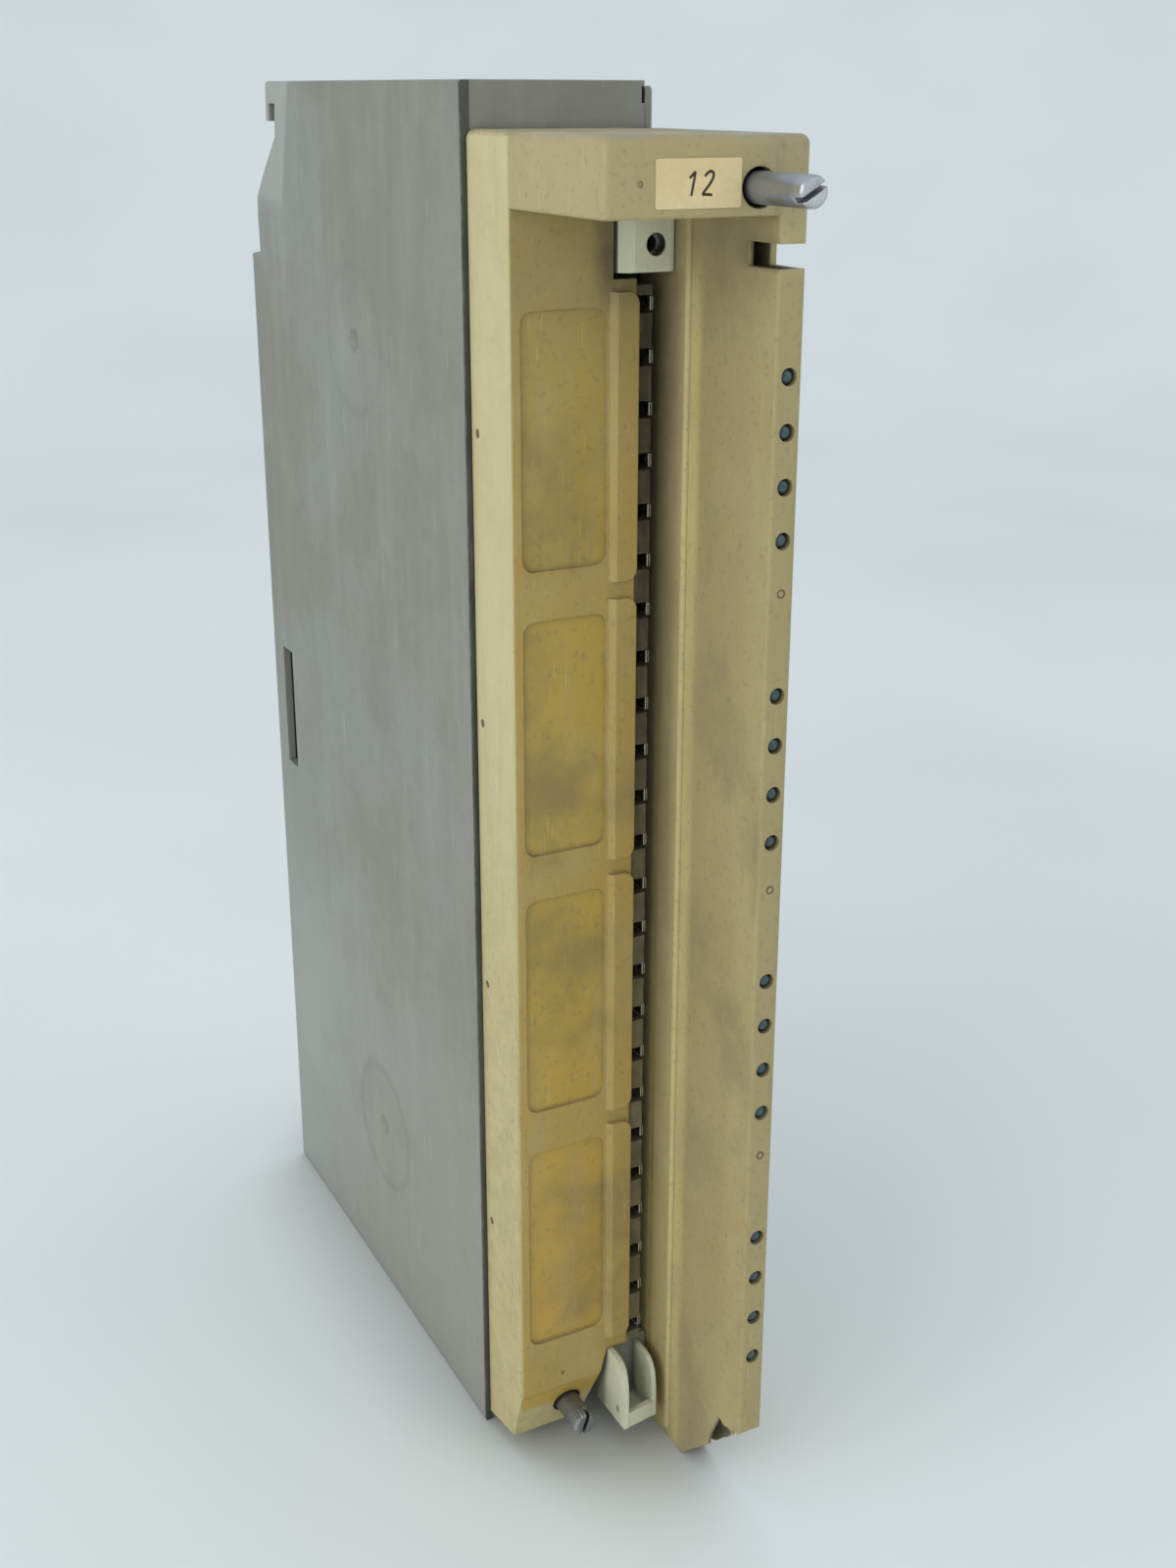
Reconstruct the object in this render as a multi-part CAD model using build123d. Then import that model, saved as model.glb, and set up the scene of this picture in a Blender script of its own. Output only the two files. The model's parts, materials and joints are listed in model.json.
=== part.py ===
from build123d import *

import os

# Plug-in output module for an industrial controller rack: a flat housing, a deep front
# frame for the wiring plug, sixteen status lamps and two captive fixing screws.
#
# Millimetres. While the pieces are built, X runs from the left side of the front frame to the
# right, Y from the front face to the rear, and Z up from the surface that the housing stands on.
# On export every piece moves so that the origin is the middle of the housing's base.

# ---------------------------------------------------------------- driving dimensions
frame_width = 41.0
frame_height = 294.2
frame_rear = 54.6
frame_wall = 1.8
bar_bottom = 280.7
recess_y = 36.9
lamp_column_x = 34.9
lamp_column_cavity = (36.1, 39.6)

housing_left = -1.1
housing_right = 38.3
cover_thickness = 2.0
housing_front = 55.0
housing_rear = 187.0
housing_height = 303.0
housing_wall = 2.0

lamp_x = 37.75
first_lamp_z = 252.85
lamp_pitch = 10.0
lamp_groups = 4
lamps_in_group = 4
lamp_radius = 1.5

group_pitch = 60.0
first_group_z = 237.3
pocket_size = (18.5, 50.0)
rib_size = (5.7, 56.5)

contact_count = 24
contact_pitch = 10.16
first_contact_z = 262.4
chamber_height = 3.5

top_screw = (30.3, 285.5)
bottom_screw = (12.5, 12.5)
screw_head_radius = 2.8
screw_rod_radius = 2.0
thread_radius = 2.5
thread_length = 8.0
screw_hole_radius = thread_radius + 0.2
ring_thickness = 0.8
ring_y = 59.0

board_left = 36.4
board_thickness = 1.6
board_right = board_left + board_thickness

post_places = ((116.2, 248.3), (116.2, 47.7))

cover_right = housing_right + cover_thickness
base_middle = ((housing_left + cover_right) / 2, (housing_front + housing_rear) / 2)


# ---------------------------------------------------------------- small builders
def block(x, y, z):
    """A box from its ranges along X, Y and Z."""
    size = [axis[1] - axis[0] for axis in (x, y, z)]
    middle = [(axis[0] + axis[1]) / 2 for axis in (x, y, z)]
    return Pos(*middle) * Box(*size)


def rod_x(radius, x, y, z):
    """A cylinder along X, from x[0] to x[1]."""
    return Pos((x[0] + x[1]) / 2, y, z) * Rot(0, 90, 0) * Cylinder(radius, x[1] - x[0])


def rod_y(radius, x, y, z):
    """A cylinder along Y, from y[0] to y[1]."""
    return Pos(x, (y[0] + y[1]) / 2, z) * Rot(90, 0, 0) * Cylinder(radius, y[1] - y[0])


def side_profile(points, x):
    """A closed outline of (y, z) points, extruded along X from x[0] to x[1]."""
    face = make_face(Polyline(*points, close=True))
    return extrude(Plane.YZ.offset(x[0]) * face, amount=x[1] - x[0])


def rounded(solid, axis, radius, keep):
    """Round the edges parallel to an axis whose middle passes the keep test."""
    edges = [edge for edge in solid.edges().filter_by(axis) if keep(edge.center())]
    return fillet(edges, radius)


def group_heights(first, pitch=group_pitch, count=lamp_groups):
    return [first - pitch * index for index in range(count)]


def contact_heights():
    return [first_contact_z - contact_pitch * index for index in range(contact_count)]


def lamp_heights():
    slots_per_group = round(group_pitch / lamp_pitch)
    heights = []
    for group in range(lamp_groups):
        for lamp in range(lamps_in_group):
            heights.append(first_lamp_z - lamp_pitch * (group * slots_per_group + lamp))
    return heights


# ---------------------------------------------------------------- housing
step_z = housing_height - 41.0
hook_y = (169.9, 172.0)
hook_bottom = housing_height - 9.0
hook_slot_top = housing_height - 5.0
upper_rear_y = 165.4

rear_edge = [
    (housing_rear, step_z),
    (180.0, step_z + 1.0),
    (180.5, 276.0),
    (176.0, 281.0),
    (upper_rear_y + 0.4, 290.5),
]


def vent_slots(z):
    """Two rows of cooling slots through the top or the bottom wall."""
    rows = [(6.0, 17.0), (21.0, 32.0)]
    return [block(row, (y, y + 3.0), z) for row in rows for y in range(70, 155, 7)]


def hook_relief():
    """The side wall draws in towards the hook: a ramp that widens upwards."""
    sections = []
    for z, depth, ramp_start, ramp_end in ((272.0, 0.05, 161.6, 161.9), (304.0, 0.9, 151.8, 163.0)):
        outer = housing_left - 1.0
        points = [(outer, ramp_start), (housing_left, ramp_start), (housing_left + depth, ramp_end),
                  (housing_left + depth, 190.0), (outer, 190.0)]
        sections.append(Plane.XY.offset(z) * make_face(Polyline(*points, close=True)))
    return loft(sections, ruled=True)


def make_housing_shell():
    outline = [(housing_front, 0), (housing_rear, 0)] + rear_edge + [
        (upper_rear_y, hook_slot_top),
        (hook_y[0], hook_slot_top),
        (hook_y[0], hook_bottom),
        (hook_y[1], hook_bottom),
        (hook_y[1], housing_height),
        (housing_front, housing_height),
    ]
    shell = side_profile(outline, (housing_left, housing_right))
    shell = rounded(shell, Axis.X, 1.4, lambda p: p.Z > 302 and p.Y > 171 or p.Z < 1 and p.Y > 186)
    long_edges = [edge for edge in shell.edges() if edge.length > 100]
    side_edges = [edge for edge in long_edges if abs(edge.center().X - housing_left) < 0.01]
    side_edges = [edge for edge in side_edges if edge.center().Y > housing_front + 1]
    shell = fillet(side_edges, 0.7)
    cavity = [
        (housing_front + housing_wall, housing_wall),
        (housing_rear - housing_wall, housing_wall),
        (housing_rear - housing_wall, step_z - housing_wall),
        (178.0, step_z - 1.0),
        (178.3, 275.3),
        (174.6, 279.4),
        (163.6, 289.8),
        (163.2, housing_height - housing_wall),
        (housing_front + housing_wall, housing_height - housing_wall),
    ]
    shell -= side_profile(cavity, (housing_left + housing_wall, housing_right + 1))
    front_opening_z = (20.0, 279.0)
    shell -= block((3.8, housing_right + 1), (housing_front - 1, housing_front + 3), front_opening_z)
    neck = block((2.1, 3.8), (47.0, housing_front + housing_wall), (8.0, 279.0))
    shell += neck
    for y, z in post_places:
        shell += rod_x(6.0, (housing_left + 0.5, board_left), y, z)
        shell += rod_x(4.0, (board_left - 0.5, housing_right), y, z)
        shell -= rod_x(1.3, (20.0, housing_right + 1), y, z)
        dimple = Pos(housing_left + 0.8, y, z) * Rot(0, 90, 0) * Cone(3.0, 0.9, 1.8)
        shell -= dimple
    for x, z in (top_screw, bottom_screw):
        shell -= rod_y(screw_hole_radius, x, (housing_front - 2, housing_front + 4), z)
        shell -= rod_y(screw_hole_radius, x, (155.0, housing_rear + 5), z)
    shell -= block((housing_left - 1, housing_left + 3), (172.0, 179.3), (128.0, 160.5))
    shell -= block((24.1, 36.7), (housing_rear - 4, housing_rear + 1), (97.7, 192.3))
    shell -= block((37.7, housing_right + 1), (housing_front - 1, 58.5), (298.8, 302.0))
    for z in group_heights(237.5):
        shell -= rod_x(0.85, (1.0, 5.0), 52.0, z)
    for z in ((-1.0, housing_wall + 1), (housing_height - housing_wall - 1, housing_height + 1)):
        for slot in vent_slots(z):
            shell -= slot
    return shell - hook_relief()


def make_side_cover():
    margin = 0.6
    outline = [(housing_front + margin, margin), (housing_rear - margin, margin)]
    outline += [(y - margin, z - margin) for y, z in rear_edge]
    outline += [(upper_rear_y - margin, 302.0), (housing_front + margin, 302.0)]
    cover = side_profile(outline, (housing_right, cover_right))
    cover = rounded(cover, Axis.X, 1.2, lambda p: p.Z < 1 and p.Y > 180 or p.Z > 301)
    tongue = block((housing_right + 0.1, housing_right + 1.1), (47.0, 60.0), (8.0, 279.0))
    cover += tongue
    cover -= block((housing_right - 1, 38.75), (housing_front, 58.5), (298.8, 303.0))
    for y, z in post_places:
        cover -= rod_x(1.7, (housing_right - 1, cover_right + 1), y, z)
        cover -= Pos(cover_right - 0.6, y, z) * Rot(0, 90, 0) * Cone(1.7, 3.3, 1.6)
    for z in group_heights(237.5):
        cover -= rod_x(0.85, (housing_right - 1, cover_right + 1), 52.0, z)
    return cover


def make_cover_screws():
    screws = []
    for y, z in post_places:
        shank = rod_x(1.25, (24.0, cover_right - 1.0), y, z)
        head = Pos(cover_right - 0.75, y, z) * Rot(0, 90, 0) * Cone(1.45, 2.9, 1.3)
        cross = block((cover_right - 0.9, cover_right), (y - 1.8, y + 1.8), (z - 0.3, z + 0.3))
        cross += block((cover_right - 0.9, cover_right), (y - 0.3, y + 0.3), (z - 1.8, z + 1.8))
        screws.append(shank + head - cross)
    return screws


# ---------------------------------------------------------------- front frame
cavity_top = bar_bottom - 1.5
strip_bottom = 23.4
column_foot_y = 24.0
inner_break = [
    (15.2, -1.0), (14.6, 8.6), (13.5, 9.2), (13.0, 12.6), (12.4, 14.3), (8.6, 22.0),
    (6.4, 21.0), (4.4, 21.8), (3.3, 21.6), (2.6, 22.6), (0.9, 23.0), (0.9, -1.0),
]
outer_break = [
    (21.4, -1.0), (21.0, 5.6), (18.6, 6.2), (16.4, 7.4), (13.6, 10.4), (10.9, 12.5),
    (10.1, 15.6), (7.4, 18.2), (4.6, 20.4), (2.2, 21.7), (2.2, -1.0),
]


def label_pocket(z):
    """A shallow rounded recess for a paper label."""
    pocket = Pos(2.3 + pocket_size[0] / 2, recess_y, z) * Box(pocket_size[0], 1.6, pocket_size[1])
    return fillet(pocket.edges().filter_by(Axis.Y), 2.6)


def plug_rib(z):
    """A raised rib beside each label pocket, rounded where it meets the contacts."""
    left = 21.3
    half = rib_size[1] / 2
    rib = block((left, left + rib_size[0]), (recess_y - 1.2, recess_y + 0.2), (z - half, z + half))
    rib = rounded(rib, Axis.Y, 2.4, lambda p: p.X > left + 1)
    slope = [edge for edge in rib.edges().filter_by(Axis.Z) if edge.center().X < left + 0.1]
    return chamfer([edge for edge in slope if edge.center().Y < recess_y - 1], 1.1)


def is_recess_corner(edge):
    """True for the long outer edges where the recess meets the frame's outside."""
    middle = edge.center()
    left, front = abs(middle.X) < 0.1, abs(middle.Y) < 0.1
    bar_edge = abs(middle.Z - bar_bottom) < 0.1 and middle.X < lamp_column_x and middle.Y < recess_y
    column_edge = left and abs(middle.Y - recess_y) < 0.1
    lamp_edge = front and abs(middle.X - lamp_column_x) < 0.1
    return edge.length > 20 and (bar_edge and (left or front) or column_edge or lamp_edge)


def make_front_frame():
    body = block((0, frame_width), (0, frame_rear), (0, frame_height))
    front = [edge for edge in body.edges() if edge.center().Y < 0.1 and edge.center().Z > 100]
    top_sides = [edge for edge in body.edges().filter_by(Axis.Y) if edge.center().Z > 290]
    body = fillet(front + top_sides, 1.7)
    body -= block((-1, lamp_column_x), (-1, recess_y), (-1, bar_bottom))
    body = fillet([edge for edge in body.edges() if is_recess_corner(edge)], 0.7)

    # the left column ends higher than the lamp column, with its lower front cut back
    left_foot = [(recess_y - 1, -1), (recess_y - 1, 19.3), (recess_y, 19.3)]
    left_foot += [(41.5, 5.5), (60, 2.0), (60, -1)]
    body -= side_profile(left_foot, (-1, lamp_column_x))
    right_foot = [(-1, 24.2), (0, strip_bottom), (column_foot_y, 0)]
    right_foot += [(column_foot_y, -1), (-1, -1)]
    body -= side_profile(right_foot, (lamp_column_x - 3, frame_width + 1))

    # hollow bar, hollow left column, hollow lamp column
    body -= block((2, frame_width - 2), (2, frame_rear + 1), (bar_bottom + 1.6, frame_height - 1.8))
    chamber = [(38.7, cavity_top), (38.7, 20.2), (43.4, 7.5)]
    chamber += [(frame_rear + 1, 7.5), (frame_rear + 1, cavity_top)]
    body -= side_profile(chamber, (frame_wall, 33.9))
    body -= block(lamp_column_cavity, (2, frame_rear + 1), (-1, bar_bottom + 2))
    body -= block((33.5, 37.0), (48.0, frame_rear + 1), (7.5, bar_bottom + 2))

    # thick root of the lamp column's inner wall
    root = block((lamp_column_x - 1, lamp_column_x + 0.5), (29.6, 48.0), (3.0, bar_bottom))
    upright = [edge for edge in root.edges().filter_by(Axis.Z) if edge.center().Y < 30]
    body += fillet([edge for edge in upright if edge.center().X < 34.5], 0.9)

    # openings through the recess: lock block, contacts and pivot bracket
    body -= block((21.9, lamp_column_x - 1), (recess_y - 1, recess_y + 3), (267.3, bar_bottom))
    body -= block((27.0, lamp_column_x - 1), (recess_y - 1, recess_y + 3), (20.0, 270.0))
    taper = Polyline((21.9, 25.2), (33.9, 25.2), (33.9, 1.0), (17.6, 1.0), (17.6, 9.0), close=True)
    body -= Pos(0, 60, 0) * extrude(Plane.XZ * make_face(taper), amount=60 - recess_y + 2)

    for z in group_heights(first_group_z - 0.5):
        body += plug_rib(z)
    for z in group_heights(first_group_z):
        body -= label_pocket(z)

    # plug latch notch near the top of the lamp column
    body -= block((lamp_column_x - 1, frame_width + 1), (-1, 10.4), (271.5, 275.9))

    for z in lamp_heights():
        body -= rod_y(lamp_radius + 0.15, lamp_x, (-1, 3), z)
    for z in group_heights(first_lamp_z - lamps_in_group * lamp_pitch, count=3):
        body -= rod_y(0.9, lamp_x, (-1, 0.3), z) - rod_y(0.55, lamp_x, (-1, 1), z)

    body -= rod_y(3.5, top_screw[0], (-1, 3), top_screw[1])
    body -= rod_y(3.4, bottom_screw[0], (recess_y - 1, recess_y + 8), bottom_screw[1])
    body -= rod_y(0.55, 7.0, (-1, 0.3), 286.4)
    body -= rod_y(0.5, 10.5, (recess_y - 1, recess_y + 0.3), 22.6)
    for z in group_heights(237.5):
        body -= rod_x(0.9, (-1, frame_width + 1), 52.0, z)

    # the lower corner of the lamp column is broken away, the inner wall more than the outer
    body -= side_profile(inner_break, (lamp_column_x - 2, lamp_column_cavity[0] + 0.01))
    return body - side_profile(outer_break, (lamp_column_cavity[1] - 0.01, frame_width + 1))


def make_frame_pins():
    left = [rod_x(0.8, (0.4, 3.8), 52.0, z) for z in group_heights(237.5)]
    right = [rod_x(0.8, (housing_right + 0.1, frame_width - 0.4), 52.0, z) for z in group_heights(237.5)]
    return left + right


def make_address_label():
    label = block((9.8, 26.6), (-0.15, 0), (282.3, 290.5))
    return fillet(label.edges().filter_by(Axis.Y), 0.5)


# ---------------------------------------------------------------- plug interface
strip_floor = (48.6, 50.6)
blade_x = (30.9, 31.5)


def make_contact_strip():
    strip = block((24.0, 33.2), strip_floor, (25.6, 279.0))
    strip += block((27.3, 30.8), (37.6, strip_floor[0] + 0.5), (25.8, 266.0))
    half = chamber_height / 2
    blade_gap = (blade_x[0] - 0.1, blade_x[1] + 0.1)
    through = (strip_floor[0] - 1, strip_floor[1] + 1)
    for z in contact_heights():
        strip -= block((27.0, 31.0), (37.0, strip_floor[0]), (z - half, z + half))
        strip -= block(blade_gap, through, (z - 1.4, z + 1.4))
    return strip


def make_contact_blades():
    blades = []
    for z in contact_heights():
        blade = block(blade_x, (38.4, 52.6), (z - 1.3, z + 1.3))
        blade += block((blade_x[0], board_left), (51.9, 52.6), (z - 1.3, z + 1.3))
        blades.append(blade)
    return blades


lock_hole = (29.9, 273.7)
lock_front = 34.6
lock_insert_y = lock_front + 3.0


def make_lock_block():
    body = block((22.9, 33.75), (lock_front, strip_floor[0]), (268.5, 279.0))
    front_edges = [edge for edge in body.edges() if edge.center().Y < lock_front + 0.1]
    body = chamfer([edge for edge in front_edges if edge.center().X < 23], 2.4)
    level = [edge for edge in body.edges().filter_by(Axis.X) if edge.center().Y < lock_front + 0.1]
    body = fillet([edge for edge in level if edge.center().Z < 269], 0.8)
    body -= rod_y(2.15, lock_hole[0], (lock_front - 1, lock_insert_y + 1), lock_hole[1])
    return body - rod_y(2.5, lock_hole[0], (lock_insert_y, strip_floor[0] - 1), lock_hole[1])


def make_lock_insert():
    depth = (lock_insert_y, lock_insert_y + 8.0)
    return rod_y(2.5, lock_hole[0], depth, lock_hole[1]) - rod_y(1.65, lock_hole[0], (30, 60), lock_hole[1])


def make_pivot_bracket():
    corner = [(4.8, 0.0), (3.0, 0.4), (1.6, 1.4), (0.7, 3.2), (0.2, 5.6), (0.0, 9.0)]
    bracket = block((22.1, 33.7), (40.0, 42.0), (8.0, 23.6))
    for front, top, sides in ((28.7, 25.0, (22.1, 23.4)), (30.0, 22.8, (30.2, 31.3))):
        cheek = [(front, 8.0), (42.0, 8.0), (42.0, top)] + [(front + y, top - drop) for y, drop in corner]
        bracket += side_profile(cheek, sides)
    lip = Polyline((22.1, 28.7), (31.3, 30.0), (31.3, 31.4), (22.1, 30.1), close=True)
    bracket += Pos(0, 0, 8.0) * extrude(Plane.XY * make_face(lip), amount=4.0)
    floor = Polyline((22.1, 28.7), (31.3, 30.0), (31.3, 42.0), (22.1, 42.0), close=True)
    bracket += Pos(0, 0, 8.0) * extrude(Plane.XY * make_face(floor), amount=1.2)
    bracket += block((24.2, 33.2), (42.0, 52.0), (14.0, 25.2))
    return bracket - rod_x(0.8, (20, 26), 32.0, 11.6)


# ---------------------------------------------------------------- captive screws
def captive_screw(place, head, tip):
    """A thin rod with a slotted head, a groove for its retaining ring and a thicker threaded end."""
    x, z = place
    screw = rod_y(screw_head_radius, x, head, z)
    rim = [edge for edge in screw.edges() if edge.center().Y < head[0] + 0.1]
    screw = chamfer(rim, 0.5)
    screw += rod_y(screw_rod_radius, x, (head[1], tip - thread_length), z)
    screw += rod_y(thread_radius, x, (tip - thread_length, tip), z)
    point = [edge for edge in screw.edges().filter_by(GeomType.CIRCLE) if edge.center().Y > tip - 0.1]
    screw = chamfer(point, 0.5)
    screw -= block((x - 4, x + 4), (head[0] - 1, head[0] + 2.2), (z - 0.5, z + 0.5))
    groove = rod_y(4.0, x, (ring_y - 0.05, ring_y + ring_thickness + 0.05), z)
    return screw - (groove - rod_y(1.5, x, (ring_y - 1, ring_y + 2), z))


def retaining_ring(place):
    """An open ring that clips into the screw's groove."""
    x, z = place
    span = (ring_y, ring_y + ring_thickness)
    ring = rod_y(3.7, x, span, z) - rod_y(1.55, x, (ring_y - 1, ring_y + 2), z)
    return ring - block((x - 1.1, x + 1.1), (ring_y - 1, ring_y + 2), (z - 5, z))


# ---------------------------------------------------------------- electronics
def make_circuit_board():
    outline = [(10, 30), (57.5, 30), (57.5, 9), (184, 9), (184, 256), (161, 256)]
    outline += [(161, 290), (58, 290), (58, 276), (20, 276), (20, 266), (10, 266)]
    board = side_profile(outline, (board_left, board_right))
    for y, z in post_places:
        board -= rod_x(4.3, (board_left - 1, board_right + 1), y, z)
    return board


def make_indicator_lamps():
    lamps = []
    for z in lamp_heights():
        lens = rod_y(lamp_radius, lamp_x, (0.4, 4.6), z)
        tip = [edge for edge in lens.edges() if edge.center().Y < 0.5]
        lens = fillet(tip, 1.2)
        lens += rod_y(1.6, lamp_x, (3.6, 4.6), z)
        lens += block((board_right, board_right + 0.4), (4.5, 14.0), (z - 1.4, z - 1.0))
        lens += block((board_right, board_right + 0.4), (4.5, 14.0), (z + 1.0, z + 1.4))
        lamps.append(lens)
    return lamps


def make_backplane_connector():
    body = block((24.4, board_left), (173.0, housing_rear), (98.0, 192.0))
    return body - block((28.8, 32.0), (178.0, housing_rear + 1), (102.0, 188.0))


def make_backplane_contacts():
    heights = [105.0 + 5.08 * index for index in range(16)]
    return [block((29.9, 30.9), (178.0, 185.0), (z - 0.9, z + 0.9)) for z in heights]


transistor_pitch = 14.8


def transistor_heights():
    return [262.0 - transistor_pitch * index for index in range(16)]


def make_heat_sink():
    sink = block((12.0, board_left), (66.0, 68.0), (32.0, 272.0))
    sink += block((12.0, 14.0), (60.0, 68.0), (32.0, 272.0))
    return sink + block((33.9, board_left), (60.0, 68.0), (32.0, 272.0))


def make_power_transistors():
    devices = []
    for z in transistor_heights():
        device = block((20.0, 29.0), (68.0, 72.4), (z - 5.1, z + 5.1))
        device += block((14.6, 20.5), (68.0, 69.3), (z - 5.1, z + 5.1))
        for offset in (-2.54, 0.0, 2.54):
            device += block((28.5, board_left), (70.2, 70.9), (z + offset - 0.4, z + offset + 0.4))
        devices.append(device - rod_y(1.8, 17.2, (60, 75), z))
    return devices


def make_transistor_screws():
    screws = []
    for z in transistor_heights():
        screws.append(rod_y(1.5, 17.2, (68.0, 71.0), z) + rod_y(2.8, 17.2, (69.3, 71.2), z))
    return screws


fuse_place = (29.0, 88.0)
fuse_heights = group_heights(first_group_z - 8.0)


def make_fuses():
    return [Pos(*fuse_place, z) * Cylinder(2.3, 10.0) for z in fuse_heights]


def make_fuse_caps():
    ends = [z + side * 7.5 for z in fuse_heights for side in (-1, 1)]
    return [Pos(*fuse_place, z) * Cylinder(2.6, 5.0) for z in ends]


def make_fuse_clips():
    x, y = fuse_place
    clips = []
    for z in [z + side * 7.5 for z in fuse_heights for side in (-1, 1)]:
        clip = block((x - 2.0, board_left), (y - 3.4, y + 3.4), (z - 1.8, z + 1.8))
        clips.append(clip - block((x - 3.0, x + 4.0), (y - 2.7, y + 2.7), (z - 3, z + 3)))
    return clips


def chip(y, z, pins):
    """A dual in-line chip lying on the board, its rows of legs along Z."""
    half = pins / 4 * 2.54
    body = block((board_left - 4.2, board_left - 0.6), (y - 3.2, y + 3.2), (z - half, z + half))
    for row in (-1, 1):
        for index in range(pins // 2):
            leg_z = z - half + 1.27 + 2.54 * index
            leg_y = y + row * 3.6
            leg = Box(2.6, 0.9, 1.0)
            body += Pos(board_left - 1.3, leg_y, leg_z) * leg
    return body


def make_optocouplers():
    return [chip(104.0, 262.0 - 29.6 * index, 8) for index in range(8)]


def make_logic_chips():
    return [chip(142.0, 240.0 - 38.0 * index, 20) for index in range(6)]


def make_filter_capacitors():
    heights = (226.0, 208.0, 66.0)
    return [rod_x(5.0, (board_left - 16.0, board_left), 160.0, z) for z in heights]


def make_resistor_networks():
    heights = (232, 194, 156, 118, 80)
    across = (board_left - 6.0, board_left)
    return [block(across, (125.0, 127.4), (z - 11.5, z + 11.5)) for z in heights]


def make_clamp_diodes():
    diode = Pos(board_left - 1.6, 80.0, 0) * Rot(90, 0, 0) * Cylinder(1.6, 5.2)
    return [Pos(0, 0, z) * diode for z in transistor_heights()]


# ---------------------------------------------------------------- the assembly
nodes = {
    "housing_shell": make_housing_shell(),
    "side_cover": make_side_cover(),
    "cover_screws": make_cover_screws(),
    "front_frame": make_front_frame(),
    "frame_pins": make_frame_pins(),
    "address_label": make_address_label(),
    "contact_strip": make_contact_strip(),
    "contact_blades": make_contact_blades(),
    "lock_block": make_lock_block(),
    "lock_insert": make_lock_insert(),
    "pivot_bracket": make_pivot_bracket(),
    "captive_screw_top": captive_screw(top_screw, (-16.8, 40.0), 186.0),
    "captive_screw_bottom": captive_screw(bottom_screw, (29.5, 43.0), 196.0),
    "retaining_ring_top": retaining_ring(top_screw),
    "retaining_ring_bottom": retaining_ring(bottom_screw),
    "circuit_board": make_circuit_board(),
    "indicator_lamps": make_indicator_lamps(),
    "backplane_connector": make_backplane_connector(),
    "backplane_contacts": make_backplane_contacts(),
    "heat_sink": make_heat_sink(),
    "power_transistors": make_power_transistors(),
    "transistor_screws": make_transistor_screws(),
    "fuses": make_fuses(),
    "fuse_caps": make_fuse_caps(),
    "fuse_clips": make_fuse_clips(),
    "optocouplers": make_optocouplers(),
    "logic_chips": make_logic_chips(),
    "filter_capacitors": make_filter_capacitors(),
    "resistor_networks": make_resistor_networks(),
    "clamp_diodes": make_clamp_diodes(),
}

os.makedirs("parts", exist_ok=True)
to_base_middle = Pos(-base_middle[0], -base_middle[1], 0)
for name, shape in nodes.items():
    pieces = shape if isinstance(shape, list) else [shape]
    solids = [to_base_middle * solid for piece in pieces for solid in piece.solids()]
    node = solids[0] if len(solids) == 1 else Compound(children=solids)
    export_step(node, f"parts/{name}.step")
    print(name, len(solids))
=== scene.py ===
import json
import math
import random

import bmesh
import bpy
from mathutils import Matrix, Vector


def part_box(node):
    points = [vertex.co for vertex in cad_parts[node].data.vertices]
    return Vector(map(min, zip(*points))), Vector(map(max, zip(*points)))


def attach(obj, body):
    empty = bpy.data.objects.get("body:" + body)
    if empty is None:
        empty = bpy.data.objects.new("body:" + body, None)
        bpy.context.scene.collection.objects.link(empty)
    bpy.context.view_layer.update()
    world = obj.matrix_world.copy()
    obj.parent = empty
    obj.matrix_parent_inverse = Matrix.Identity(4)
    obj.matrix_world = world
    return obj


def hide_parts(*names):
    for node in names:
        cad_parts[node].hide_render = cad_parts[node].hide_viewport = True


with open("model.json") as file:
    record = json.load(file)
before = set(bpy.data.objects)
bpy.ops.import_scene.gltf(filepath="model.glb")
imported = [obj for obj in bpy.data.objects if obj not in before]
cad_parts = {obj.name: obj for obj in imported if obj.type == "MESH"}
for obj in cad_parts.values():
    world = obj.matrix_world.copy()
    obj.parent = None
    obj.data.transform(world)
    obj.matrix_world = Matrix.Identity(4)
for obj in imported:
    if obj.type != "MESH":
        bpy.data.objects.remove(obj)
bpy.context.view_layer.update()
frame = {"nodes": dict(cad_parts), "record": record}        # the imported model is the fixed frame
cadNodes = frame["nodes"]
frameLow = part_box("front_frame")[0]
mm = 0.001


def at(x, y, z):
    # a place in mm from the front frame's left front lower corner
    return Vector((frameLow.x + x * mm, frameLow.y + y * mm, frameLow.z + z * mm))


# small helpers for node trees
def addNode(tree, kind, inputs=None, **settings):
    made = tree.nodes.new(kind)
    for name, value in settings.items():
        setattr(made, name, value)
    for name, value in (inputs or {}).items():
        socket = made.inputs[name]
        if isinstance(value, bpy.types.NodeSocket):
            tree.links.new(value, socket)
        else:
            socket.default_value = value
    return made


def calc(tree, operation, a, b=0.0):
    return addNode(tree, "ShaderNodeMath", {0: a, 1: b}, operation=operation).outputs[0]


def between(tree, value, start, end, low=0.0, high=1.0):
    inputs = {"Value": value, "From Min": start, "From Max": end, "To Min": low, "To Max": high}
    return addNode(tree, "ShaderNodeMapRange", inputs, interpolation_type="SMOOTHSTEP").outputs["Result"]


def noise(tree, coordinates, scale, detail=3.0, roughness=0.55):
    inputs = {"Vector": coordinates, "Scale": scale, "Detail": detail, "Roughness": roughness}
    return addNode(tree, "ShaderNodeTexNoise", inputs).outputs["Fac"]


def stretched(tree, coordinates, scale):
    return addNode(tree, "ShaderNodeMapping", {"Vector": coordinates, "Scale": scale}).outputs["Vector"]


def mixColour(tree, factor, a, b):
    return addNode(tree, "ShaderNodeMix", {0: factor, 6: a, 7: b}, data_type="RGBA").outputs[2]


def rgba(colour):
    return (*colour, 1.0)


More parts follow.
